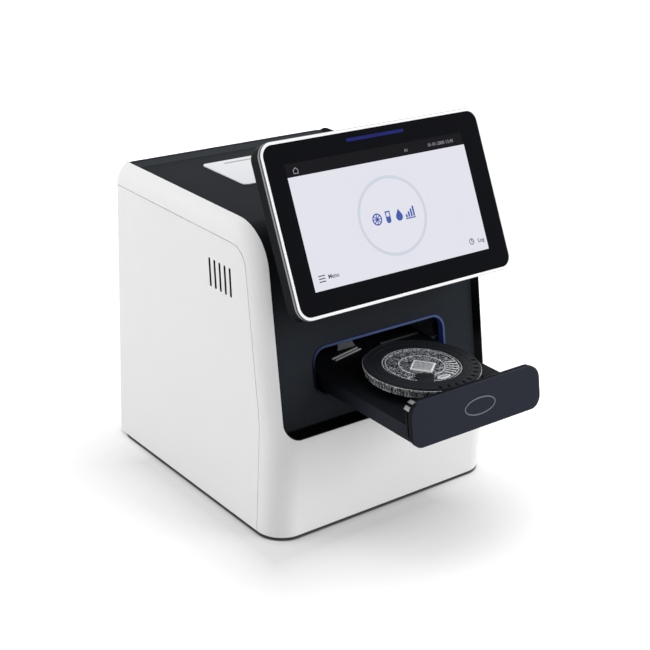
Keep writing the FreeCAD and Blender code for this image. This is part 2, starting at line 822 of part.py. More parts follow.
# Drawer: face plate, groove, flange, mark and tray
face = leaning_plate(face_y, face_thick, face_low, face_high, face_half, slot_corner - face_gap)
groove = leaning_plate(face_y + face_thick, groove_depth, face_low + groove_inset,
                       face_high - groove_inset, face_half - groove_inset,
                       slot_corner - face_gap - groove_inset)
save("drawer_face", face.fuse(groove))
flange = leaning_plate(flange_y, flange_thick, face_low + flange_inset, face_high - flange_inset,
                       face_half - flange_inset, slot_corner - face_gap - flange_inset)
save("drawer_flange", flange)
mark_z = (face_low + face_high) / 2
mark_centre = V(mark_offset, face_y, mark_z)


def oval(half, rise):
    curve = Part.Ellipse(V(0, 0, 0), half, rise)
    return Part.Face(Part.Wire([curve.toShape()])).extrude(V(0, 0, mark_proud))


mark = oval(mark_half, mark_rise).cut(oval(mark_half - mark_line, mark_rise - mark_line))
mark.rotate(V(0, 0, 0), V(1, 0, 0), 90 - front_lean)
mark.translate(mark_centre)
save("drawer_mark", mark)

rack_pitch = math.pi * tooth_module
rack_teeth = math.ceil(drawer_travel / rack_pitch) + rack_spare_teeth
rack_back_y = pinion_y + rack_tail + rack_pitch
rack_front_y = rack_back_y - rack_teeth * rack_pitch
rack_root_z = tray_low + tooth_module + root_share * tooth_module
rack_top_z = rack_root_z + rack_bar
tray = flat_plate(-tray_half, tray_half, tray_front_y - overrun, tray_back_y, tray_low, tray_high,
                  tray_corner)
behind_flange = [
    V(-half_width, tray_front_y + (slot_low - slot_mid) * lean, slot_low),
    V(-half_width, tray_back_y + overrun, slot_low),
    V(-half_width, tray_back_y + overrun, slot_high),
    V(-half_width, tray_front_y + (slot_high - slot_mid) * lean, slot_high),
]
tray = tray.common(extruded(polygon(behind_flange), V(body_width, 0, 0)))
well_floor = tray_high - well_depth
tray = tray.cut(rod(well_radius, well_depth + overrun, V(0, rotor_y, well_floor), V(0, 0, 1)))
tray = tray.cut(rod(spindle_radius + seat_gap, tray_high, V(0, rotor_y, spindle_low), V(0, 0, 1)))
tray = tray.cut(box(rack_centre - rack_half - rack_room, rack_centre + rack_half + rack_room,
                    rack_front_y - rack_room, tray_back_y + overrun, tray_low - overrun, rack_top_z))
for side in (-1, 1):
    x0, x1 = sorted((side * (tray_half - tray_corner), side * (tray_half + slider_out)))
    tray = tray.fuse(box(x0, x1, tray_back_y - slider_length - tray_corner, tray_back_y - tray_corner,
                         slider_low, slider_high))
save("drawer_tray", tray)

# Rack under the tray
half_pitch_tooth = rack_pitch / 4 - backlash / 4
slope_tan = math.tan(math.radians(pressure_angle))
rack = box(rack_centre - rack_half, rack_centre + rack_half, rack_front_y, rack_back_y, rack_root_z,
           rack_top_z)
pitch_z = tray_low + tooth_module
for i in range(rack_teeth):
    y = pinion_y - (i - 1) * rack_pitch
    tip = half_pitch_tooth - (pitch_z - tray_low) * slope_tan
    root = half_pitch_tooth + (rack_root_z - pitch_z) * slope_tan
    if y - root < rack_front_y or y + root > rack_back_y:
        continue
    points = [V(rack_centre - rack_half, y - tip, tray_low),
              V(rack_centre - rack_half, y + tip, tray_low),
              V(rack_centre - rack_half, y + root, rack_root_z),
              V(rack_centre - rack_half, y - root, rack_root_z)]
    rack = rack.fuse(extruded(polygon(points), V(2 * rack_half, 0, 0)))
save("drawer_rack", rack)

# Stop bar, sensor flag and latch strips on the tray's back end
bar_y = tray_back_y - stop_bar_from_end
save("stop_bar", box(stop_bar_start, stop_bar_stop, bar_y - stop_bar_width / 2, bar_y + stop_bar_width / 2,
                     tray_high, tray_high + stop_bar_rise))
flag_y = tray_back_y - flag_from_end
flag_points = [V(flag_start, flag_y, tray_high), V(flag_stop, flag_y, tray_high),
               V(flag_stop - flag_slant, flag_y, tray_high + flag_rise),
               V(flag_start, flag_y, tray_high + flag_rise)]
flag = extruded(polygon(flag_points), V(0, flag_thick, 0))
flag = flag.fuse(box(flag_start, flag_stop, flag_y, flag_y + flag_foot, tray_high, tray_high + flag_thick))
save("sensor_flag", flag)
strips = []
for side in (-1, 1):
    strip = box(-strip_length / 2, strip_length / 2, side * strip_pitch / 2 - strip_width / 2,
                side * strip_pitch / 2 + strip_width / 2, 0, strip_rise)
    strip.rotate(V(0, 0, 0), V(0, 0, 1), strip_turn)
    strip.translate(V(strip_shift, tray_back_y - strip_from_end, tray_high))
    strips.append(strip)
save("latch_strips", Part.makeCompound(strips))


def involute(radius):
    """Angle that an involute from the pinion's base circle has turned at this radius."""
    base = pitch_radius * math.cos(math.radians(pressure_angle))
    if radius <= base:
        return 0
    opening_angle = math.acos(base / radius)
    return math.tan(opening_angle) - opening_angle


def pinion_outline():
    tip_radius = pitch_radius + tooth_module
    root_radius = pitch_radius - root_share * tooth_module
    half_tooth = math.pi / (2 * pinion_teeth) - backlash / (4 * pitch_radius)
    points = []
    for tooth in range(pinion_teeth):
        centre = math.pi * (2 * tooth + 1) / pinion_teeth + math.pi / 2
        for side in (-1, 1):
            steps = range(flank_steps + 1) if side < 0 else range(flank_steps, -1, -1)
            for step in steps:
                radius = root_radius + (tip_radius - root_radius) * step / flank_steps
                angle = half_tooth + involute(pitch_radius) - involute(radius)
                turn = centre + side * angle
                points.append(V(0, pinion_y + radius * math.cos(turn),
                                pinion_z + radius * math.sin(turn)))
    return points


pinion_x0 = rack_centre - pinion_half
pinion_wire = polygon(pinion_outline())
pinion_wire.translate(V(pinion_x0, 0, 0))
pinion = extruded(pinion_wire, V(2 * pinion_half, 0, 0))
pinion = pinion.fuse(rod(pinion_collar, pinion_collar_length,
                         V(rack_centre + pinion_half, pinion_y, pinion_z), V(1, 0, 0)))
gearbox_x = rack_centre + pinion_half + pinion_collar_length + gearbox_gap
pinion = pinion.fuse(rod(shaft_radius, gearbox_x + shaft_bearing - pinion_x0,
                         V(pinion_x0, pinion_y, pinion_z), V(1, 0, 0)))
save("drive_pinion", pinion)

gearbox = box(gearbox_x, gearbox_x + gearbox_length, pinion_y - gearbox_half_y,
              pinion_y + gearbox_half_y, pinion_z - gearbox_half_z, pinion_z + gearbox_half_z)
motor = rod(motor_radius, motor_length, V(gearbox_x + gearbox_length, pinion_y, pinion_z), V(1, 0, 0))
bearing = rod(shaft_radius + shaft_fit, shaft_bearing + shaft_fit, V(gearbox_x, pinion_y, pinion_z),
              V(1, 0, 0))
save("gear_motor", gearbox.fuse(motor).cut(bearing))
save("motor_mount", box(gearbox_x, gearbox_x + gearbox_length, pinion_y - motor_mount_half,
                        pinion_y + motor_mount_half, deck_top, pinion_z - gearbox_half_z))

# Slide rails
for side, name in ((-1, "left_rail"), (1, "right_rail")):
    x0, x1 = sorted((side * (tray_half + rail_offset), side * frame_inner))
    g0, g1 = sorted((side * tray_half, side * (tray_half + slider_out + slide_gap)))
    rail = box(x0, x1, front_y + rail_front, rear_y - rail_rear_gap, slider_low - slide_gap - rail_lip,
               slider_high + slide_gap + rail_lip)
    rail = rail.cut(box(g0, g1, front_y, rear_y, slider_low - slide_gap, slider_high + slide_gap))
    save(name, rail)

# Spindle motor and hub in the tray
motor_top = well_floor + spindle_rise
spindle = rod(spindle_radius, motor_top - spindle_low, V(0, rotor_y, spindle_low), V(0, 0, 1))
shaft_low = motor_top - hub_shaft_depth
spindle = spindle.cut(rod(hub_shaft + shaft_fit, hub_shaft_depth + shaft_fit,
                          V(0, rotor_y, shaft_low - shaft_fit), V(0, 0, 1)))
save("spindle_motor", spindle)
hub_low = motor_top + hub_lift
hub = rod(hub_radius, rotor_low - hub_low, V(0, rotor_y, hub_low), V(0, 0, 1))
hub = hub.fuse(rod(boss_radius, boss_height, V(0, rotor_y, rotor_low), V(0, 0, 1)))
hub = hub.fuse(rod(hub_shaft, hub_low - shaft_low, V(0, rotor_y, shaft_low), V(0, 0, 1)))
save("spindle_hub", hub)

# Reagent rotor: clear base with cuvettes, dark ring, filling port and foil
base_radius = rotor_radius - base_inset
ring_low = rotor_top - ring_thick
rotor = rod(base_radius, ring_low - rotor_low, V(0, rotor_y, rotor_low), V(0, 0, 1))
plateau = rod(ring_inner - plateau_gap, ring_thick - plateau_drop, V(0, rotor_y, ring_low), V(0, 0, 1))
rotor = rotor.fuse(plateau)
for i in range(cuvette_count):
    pocket = box(base_radius - cuvette_depth, base_radius + overrun, -cuvette_width / 2,
                 cuvette_width / 2, rotor_low + cuvette_roof, ring_low - cuvette_roof)
    pocket.rotate(V(0, 0, 0), V(0, 0, 1), 360 * i / cuvette_count)
    pocket.translate(V(0, rotor_y, 0))
    rotor = rotor.cut(pocket)
rotor = rotor.cut(rod(boss_radius + boss_fit, boss_height + boss_fit,
                      V(0, rotor_y, rotor_low), V(0, 0, 1)))
save("rotor_base", rotor)
ring_disc = rod(rotor_radius, ring_thick, V(0, rotor_y, ring_low), V(0, 0, 1))
ring_disc = ring_disc.cut(rod(ring_inner, ring_thick, V(0, rotor_y, ring_low), V(0, 0, 1)))
for i in range(hole_count):
    turn = 2 * math.pi * i / hole_count
    place = V(hole_circle * math.cos(turn), rotor_y + hole_circle * math.sin(turn), ring_low)
    ring_disc = ring_disc.cut(rod(hole_radius, ring_thick, place, V(0, 0, 1)))
save("rotor_ring", ring_disc)
plateau_top = rotor_top - plateau_drop
outward = V(port_side, port_back, 0).normalize()
port_place = V(port_side, rotor_y + port_back, plateau_top)
port = rod(port_radius, port_rise, port_place, V(0, 0, 1))
tab = box(-port_radius / 2, port_radius / 2, 0, port_radius + port_length, 0, port_rise)
tab.rotate(V(0, 0, 0), V(0, 0, 1), math.degrees(math.atan2(outward.y, outward.x)) + 90)
tab.translate(port_place)
port = port.fuse(tab).cut(rod(port_radius / 2, port_rise, port_place, V(0, 0, 1)))
save("rotor_port", port)
foil = box(-foil_side / 2, foil_side / 2, -foil_side / 2, foil_side / 2, 0, foil_thick)
foil.rotate(V(0, 0, 0), V(0, 0, 1), foil_turn)
foil.translate(V(foil_shift, rotor_y + foil_back, plateau_top))
save("rotor_foil", foil)

# Lamp, optics and code reader on the chamber roof
roof_top = roof_level + roof_thick
lamp_x = lamp_side - lamp_half / 2
save("lamp_module", box(lamp_x - lamp_half, lamp_x + lamp_half, home_y - lamp_depth / 2,
                        home_y + lamp_depth / 2, roof_top, roof_top + lamp_height))
save("lamp_lens", rod(lens_radius, lens_length, V(lamp_x, home_y, roof_top - lens_length),
                      V(0, 0, 1)))
optics_x1 = lamp_x - lamp_half - seat_gap
optics = box(optics_x1 - 2 * optics_half, optics_x1, front_y + optics_back - optics_depth / 2,
             front_y + optics_back + optics_depth / 2, roof_top, roof_top + optics_height)
save("optics_module", optics)
save("code_reader", box(reader_side - reader_half, reader_side + reader_half, front_y + reader_back,
                        front_y + reader_back + reader_depth, roof_top, roof_top + reader_height))

# Main board on the right frame plate, power supply on the base plate
board_y = front_y + board_front
board_x = frame_outer + board_gap
board_length = rear_y - board_rear_gap - board_y
save("main_board", box(board_x, board_x + board_thick, board_y, board_y + board_length,
                       base_top + board_low, base_top + board_low + board_height))
standoffs = []
for y in (board_y + standoff_inset, board_y + board_length - standoff_inset):
    for z in (base_top + board_low + standoff_inset, base_top + board_low + board_height - standoff_inset):
        standoffs.append(rod(standoff_radius, board_gap, V(frame_outer, y, z), V(1, 0, 0)))
save("board_standoffs", Part.makeCompound(standoffs))
supply_x0 = -half_width + shell_wall + supply_side_gap
supply_y1 = rear_y - supply_rear_gap
save("power_supply", box(supply_x0, -frame_outer - seat_gap, supply_y1 - supply_length, supply_y1,
                         base_top, base_top + supply_height))

# Display, made flat and then tilted into place
tilt_place = V(0, front_y + display_back, display_level)


def tilted(shape):
    shape = shape.copy()
    shape.rotate(V(0, 0, 0), V(1, 0, 0), -display_tilt)
    shape.translate(tilt_place)
    return shape


trim_half_x = glass_half_x + trim_width
trim_half_z = glass_half_z + trim_width
trim_corner = glass_corner + trim_width
glass = upright_plate(-glass_half_x + seat_gap, glass_half_x - seat_gap, -glass_half_z + seat_gap,
                      glass_half_z - seat_gap, 0, glass_thick, glass_corner - seat_gap)
save("display_glass", tilted(glass))


def trim_band(inset, y0, y1):
    return upright_plate(inset - trim_half_x, trim_half_x - inset, inset - trim_half_z, trim_half_z - inset,
                         y0, y1, trim_corner - inset)


trim = trim_band(0, 0, trim_front)
near = trim_chamfer * match_share
front_edges = [edge for edge in trim.Edges if abs(edge.BoundBox.YMax) < near]
trim = trim.makeChamfer(trim_chamfer, front_edges)
trim = trim.fuse(trim_band(trim_groove_depth, trim_front, trim_front + trim_groove))
trim = trim.fuse(trim_band(0, trim_front + trim_groove, trim_depth))
trim = trim.cut(upright_plate(-glass_half_x, glass_half_x, -glass_half_z, glass_half_z, 0,
                              glass_thick, glass_corner))
ledge_x = glass_half_x - trim_ledge
ledge_z = glass_half_z - trim_ledge
trim = trim.cut(upright_plate(-ledge_x, ledge_x, -ledge_z, ledge_z, 0, trim_depth,
                              glass_corner - trim_ledge))
save("display_trim", tilted(trim))
housing_x = trim_half_x - housing_inset
housing_z = trim_half_z - housing_inset
housing_back = trim_depth + housing_depth
housing = upright_plate(-housing_x, housing_x, -housing_z, housing_z, trim_depth, housing_back,
                        trim_corner - housing_inset)
back_edges = [edge for edge in housing.Edges if abs(edge.BoundBox.YMin - housing_back) < near]
housing = housing.makeFillet(housing_round, back_edges)
hollow_x = housing_x - housing_round
hollow_z = housing_z - housing_round
housing = housing.cut(upright_plate(-hollow_x, hollow_x, -hollow_z, hollow_z, trim_depth,
                                    housing_back - housing_wall, trim_corner - housing_round))
save("display_housing", tilted(housing))
lcd = box(-lcd_half_x, lcd_half_x, glass_thick, glass_thick + lcd_thick, lcd_low, lcd_high)
save("display_panel", tilted(lcd))
light = box(-light_half, light_half, glass_thick, glass_thick + light_depth, light_low,
            light_low + light_tall)
save("status_light", tilted(light))
board_y0 = glass_thick + lcd_thick + seat_gap
display_board = box(-display_board_half_x, display_board_half_x, board_y0,
                    board_y0 + display_board_thick, display_board_low, display_board_high)
save("display_board", tilted(display_board))

# Display hinge: a lug on the housing, a pin, and a bracket seated on the cover's brow
axis_z = -axis_drop
barrel = rod(barrel_radius, 2 * lug_half, V(-lug_half, axis_depth, axis_z), V(1, 0, 0))
pin_room = rod(hinge_pin_radius + hinge_fit, body_width, V(-half_width, axis_depth, axis_z), V(1, 0, 0))
wedge = [V(-lug_half, housing_back, axis_z - barrel_radius - lug_drop / 2),
         V(-lug_half, axis_depth, axis_z - barrel_radius),
         V(-lug_half, axis_depth, axis_z + barrel_radius),
         V(-lug_half, housing_back, axis_z + barrel_radius)]
lug = extruded(polygon(wedge), V(2 * lug_half, 0, 0)).fuse(barrel).cut(pin_room)
save("hinge_lug", tilted(lug))
ear_start = lug_half + ear_gap
ear_stop = ear_start + ear_thick
pin_rod = rod(hinge_pin_radius, 2 * ear_stop, V(-ear_stop, axis_depth, axis_z), V(1, 0, 0))
save("hinge_pin", tilted(pin_rod))

axis_point = tilted(Part.Vertex(V(0, axis_depth, axis_z))).Vertexes[0].Point
slope = V(0, lean_sin, lean_cos)
inward = V(0, lean_cos, -lean_sin)
brow_line = V(0, front_y, lean_start) + inward * brow_radius
brow_centre = meet(brow_line, slope, V(0, 0, body_top - brow_radius), V(0, 1, 0))
to_brow = (V(0, brow_centre.y, brow_centre.z) - axis_point).normalize()
across = V(0, -to_brow.z, to_brow.y)
reach = (V(0, brow_centre.y, brow_centre.z) - axis_point).Length - brow_radius + cover_depth
cover_face = extruded(side_profile(cover_depth, rear_y, foot_height, -half_width), V(body_width, 0, 0))
base_outer = extruded(side_profile(cover_depth - hinge_base_thick, rear_y, foot_height, -half_width),
                      V(body_width, 0, 0))
foot_point = axis_point + to_brow * reach
base_side = ear_stop + hinge_base_side


def slab_along(start, length, half_spread, half_x):
    """A block from the start towards the brow's centre."""
    points = [start + across * half_spread, start - across * half_spread,
              start - across * half_spread + to_brow * length,
              start + across * half_spread + to_brow * length]
    wire = polygon(points)
    wire.translate(V(-half_x, 0, 0))
    return extruded(wire, V(2 * half_x, 0, 0))


hinge_base = slab_along(foot_point - to_brow * (hinge_base_thick + overrun),
                        hinge_base_thick + 3 * overrun, hinge_base_reach, base_side)
hinge_base = hinge_base.common(base_outer).cut(cover_face)
hinge_bracket = hinge_base
for side in (-1, 1):
    x0 = min(side * ear_start, side * ear_stop)
    points = [axis_point + across * ear_radius, axis_point - across * ear_radius,
              foot_point - across * ear_spread + to_brow * overrun,
              foot_point + across * ear_spread + to_brow * overrun]
    wire = polygon(points)
    wire.translate(V(x0, 0, 0))
    ear = extruded(wire, V(ear_thick, 0, 0))
    ear = ear.fuse(rod(ear_radius, ear_thick, V(x0, axis_point.y, axis_point.z), V(1, 0, 0)))
    hinge_bracket = hinge_bracket.fuse(ear)
hinge_bracket = hinge_bracket.cut(cover_face).cut(tilted(pin_room))
save("hinge_bracket", hinge_bracket)
print("front", round(front_y, 3), "cover at slot", round(cover_y, 3), "rotor", round(rotor_y, 3))
print("pinion", round(pinion_y, 3), round(pinion_z, 3), "hinge", axis_point)
print("rocker", round(axle_y, 3), "fan", round(fan_hub_y, 3), "rear", round(rear_y, 3))
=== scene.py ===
import json
from math import atan2, cos, hypot, pi, radians, sin

import bmesh
import bpy
from mathutils import Matrix, Vector


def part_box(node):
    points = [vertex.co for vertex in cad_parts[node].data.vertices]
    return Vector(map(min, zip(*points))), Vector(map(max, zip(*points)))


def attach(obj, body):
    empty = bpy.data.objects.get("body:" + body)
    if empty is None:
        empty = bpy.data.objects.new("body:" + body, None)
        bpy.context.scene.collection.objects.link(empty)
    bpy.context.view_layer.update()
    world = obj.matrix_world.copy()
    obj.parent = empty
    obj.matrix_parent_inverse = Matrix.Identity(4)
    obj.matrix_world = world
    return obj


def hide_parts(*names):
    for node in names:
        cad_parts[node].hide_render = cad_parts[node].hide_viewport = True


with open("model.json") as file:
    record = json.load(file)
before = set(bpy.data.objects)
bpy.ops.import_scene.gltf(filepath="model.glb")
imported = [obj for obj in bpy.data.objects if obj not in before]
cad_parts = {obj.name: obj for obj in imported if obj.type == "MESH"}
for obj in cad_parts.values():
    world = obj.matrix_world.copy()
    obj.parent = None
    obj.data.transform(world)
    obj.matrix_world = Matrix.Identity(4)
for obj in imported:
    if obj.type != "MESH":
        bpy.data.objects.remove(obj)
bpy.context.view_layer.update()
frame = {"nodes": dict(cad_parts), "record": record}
mm = 0.001


# Colours are written as sRGB hex and turned to linear here
def linear(hexColour):
    channels = [int(hexColour[i:i + 2], 16) / 255 for i in (1, 3, 5)]
    return [c / 12.92 if c <= 0.04045 else ((c + 0.055) / 1.055) ** 2.4 for c in channels] + [1.0]


def fillSockets(tree, node, **sockets):
    # Links an output or sets a plain value; a socket goes by its label, or by i and its number
    for key, value in sockets.items():
        numbered = key[0] == "i" and key[1:].isdigit()
        socket = node.inputs[int(key[1:]) if numbered else key.replace("_", " ")]
        if isinstance(value, bpy.types.NodeSocket):
            tree.links.new(value, socket)
        else:
            socket.default_value = value


def addNode(tree, kind, settings=None, **sockets):
    node = tree.nodes.new(kind)
    for key, value in (settings or {}).items():
        setattr(node, key, value)
    fillSockets(tree, node, **sockets)
    return node


def startMaterial(name):
    material = bpy.data.materials.new(name)
    material.use_nodes = True
    tree = material.node_tree
    shader = tree.nodes["Principled BSDF"]
    place = addNode(tree, "ShaderNodeTexCoord").outputs["Object"]
    return material, tree, shader, place


# Sizes of the slow changes of tone and depths of the fine relief, in millimetres
pattern = {"slowTone": 60, "litTone": 25, "floorTone": 300, "grainRelief": 0.1, "lineRelief": 0.05,
           "crumpleRelief": 0.5, "waveRelief": 0.6}
brushed = {"stretch": 0.04, "smoother": 0.06, "rougher": 0.08, "strength": 0.15}
lit = {"base": "#050505", "roughness": 0.3, "specular": 0.04, "fadeFrom": -0.35, "fadeTo": 0.45}
crumpled = {"distortion": 1.4, "step": 0.22, "strength": 0.9, "roughness": 0.16, "through": 0.12}
clearIor = 1.57


# Moulded and painted surfaces: a slow change of tone, a fine grain in the tool, and a little wear
def grained(name, colour, second, roughness, grainMm, grainDepth, metallic=0.0, specular=0.5,
                   spread=0.04):
    material, tree, shader, place = startMaterial(name)
    slow = addNode(tree, "ShaderNodeTexNoise", None, Vector=place, Scale=1 / (pattern["slowTone"] * mm),
                   Detail=3.0)
    tone = addNode(tree, "ShaderNodeMix", {"data_type": "RGBA"}, i0=slow.outputs["Fac"],
                   i6=linear(colour), i7=linear(second))
    grain = addNode(tree, "ShaderNodeTexNoise", None, Vector=place, Scale=1 / (grainMm * mm), Detail=2.0)
    rough = addNode(tree, "ShaderNodeMapRange", None, Value=slow.outputs["Fac"], To_Min=roughness - spread,
                    To_Max=roughness + spread)
    bump = addNode(tree, "ShaderNodeBump", None, Height=grain.outputs["Fac"], Strength=grainDepth,
                   Distance=pattern["grainRelief"] * mm)
    fillSockets(tree, shader, Base_Color=tone.outputs[2], Roughness=rough.outputs["Result"],
                Normal=bump.outputs["Normal"], Metallic=metallic, Specular_IOR_Level=specular)
    return material


# Rolled or drawn metal: fine lines along one direction and a soft streaked gloss
def brushedMetal(name, colour, second, roughness, lineMm, along, metallic=1.0):
    material, tree, shader, place = startMaterial(name)
    stretch = [1.0, 1.0, 1.0]
    stretch[along] = brushed["stretch"]
    mapping = addNode(tree, "ShaderNodeMapping", None, Vector=place, Scale=stretch)
    lines = addNode(tree, "ShaderNodeTexNoise", None, Vector=mapping.outputs["Vector"],
                    Scale=1 / (lineMm * mm), Detail=3.0)
    tone = addNode(tree, "ShaderNodeMix", {"data_type": "RGBA"}, i0=lines.outputs["Fac"],
                   i6=linear(colour), i7=linear(second))
    rough = addNode(tree, "ShaderNodeMapRange", None, Value=lines.outputs["Fac"],
                    To_Min=roughness - brushed["smoother"], To_Max=roughness + brushed["rougher"])
    bump = addNode(tree, "ShaderNodeBump", None, Height=lines.outputs["Fac"], Strength=brushed["strength"],
                   Distance=pattern["lineRelief"] * mm)
    fillSockets(tree, shader, Base_Color=tone.outputs[2], Roughness=rough.outputs["Result"],
                Normal=bump.outputs["Normal"], Metallic=metallic)
    return material


# Lit film and guides: even light with a slow fall-off that a real light guide shows
def litSurface(name, colour, second):
    material, tree, shader, place = startMaterial(name)
    slow = addNode(tree, "ShaderNodeTexNoise", None, Vector=place, Scale=1 / (pattern["litTone"] * mm),
                   Detail=1.0)
    tone = addNode(tree, "ShaderNodeMix", {"data_type": "RGBA"}, i0=slow.outputs["Fac"],
                   i6=linear(colour), i7=linear(second))
    fillSockets(tree, shader, Base_Color=linear(lit["base"]), Emission_Color=tone.outputs[2],
                Emission_Strength=1.0, Roughness=lit["roughness"], Specular_IOR_Level=lit["specular"])
    return material


# Painted light and shade: fades from one side of its box to the other, in colour and, on the lit guide, in
# light
def fadingSurface(name, base, glow, low, high, toward=(0.45, 0, 0.5)):
    material, tree, shader, place = startMaterial(name)
    half = (high - low) / 2
    away = addNode(tree, "ShaderNodeVectorMath", {"operation": "SUBTRACT"}, i0=place, i1=(low + high) / 2)
    along = addNode(tree, "ShaderNodeVectorMath", {"operation": "DOT_PRODUCT"}, i0=away.outputs["Vector"],
                    i1=[share / length for share, length in zip(toward, half)])
    level = addNode(tree, "ShaderNodeMapRange", None, Value=along.outputs["Value"], From_Min=lit["fadeFrom"],
                    From_Max=lit["fadeTo"])
    for socket, tones in {"Base Color": base, "Emission Color": glow}.items():
        if tones:
            tone = addNode(tree, "ShaderNodeMix", {"data_type": "RGBA"}, i0=level.outputs["Result"],
                           i6=linear(tones[0]), i7=linear(tones[1]))
            tree.links.new(tone.outputs[2], shader.inputs[socket])
    fillSockets(tree, shader, Emission_Strength=1.0 if glow else 0.0, Roughness=lit["roughness"],
                Specular_IOR_Level=lit["specular"])
    return material


# Clear moulded chambers full of small walls: bright crumpled facets with dark gaps between them, painted into
# the colour; on the clear parts they are painted reflections
def crumpledClear(name, dark, light, facetMm, gap=0.42, stretch=(1.0, 1.0, 1.0)):
    material, tree, shader, place = startMaterial(name)
    mapping = addNode(tree, "ShaderNodeMapping", None, Vector=place, Scale=stretch)
    facets = addNode(tree, "ShaderNodeTexNoise", None, Vector=mapping.outputs["Vector"],
                     Scale=1 / (facetMm * mm), Detail=2.5, Distortion=crumpled["distortion"])
    level = addNode(tree, "ShaderNodeMapRange", None, Value=facets.outputs["Fac"], From_Min=gap,
                    From_Max=gap + crumpled["step"])
    tone = addNode(tree, "ShaderNodeMix", {"data_type": "RGBA"}, i0=level.outputs["Result"],
                   i6=linear(dark), i7=linear(light))
    bump = addNode(tree, "ShaderNodeBump", None, Height=facets.outputs["Fac"], Strength=crumpled["strength"],
                   Distance=pattern["crumpleRelief"] * mm)
    fillSockets(tree, shader, Base_Color=tone.outputs[2], Normal=bump.outputs["Normal"],
                Roughness=crumpled["roughness"], IOR=clearIor, Transmission_Weight=crumpled["through"])
    return material


# Ground glass: clear, with a faint wave that bends the highlight
def groundGlass(name, colour, roughness, transmission, waveMm, waveDepth):
    material, tree, shader, place = startMaterial(name)
    wave = addNode(tree, "ShaderNodeTexNoise", None, Vector=place, Scale=1 / (waveMm * mm), Detail=2.0)
    bump = addNode(tree, "ShaderNodeBump", None, Height=wave.outputs["Fac"], Strength=waveDepth,
                   Distance=pattern["waveRelief"] * mm)
    rough = addNode(tree, "ShaderNodeMapRange", None, Value=wave.outputs["Fac"], To_Min=roughness,
                    To_Max=roughness + 0.12)
    fillSockets(tree, shader, Normal=bump.outputs["Normal"], Roughness=rough.outputs["Result"],
                Base_Color=linear(colour), IOR=clearIor, Transmission_Weight=transmission)
    return material


# Shared finishes: roughness, grain in millimetres, its depth, metallic and specular
mattAbs = (0.55, 0.45, 0.10, 0.0, 0.02)
satinSteel = (0.40, 0.3, 0.04, 0.15)
printed = (0.40, 0.3, 0.02)

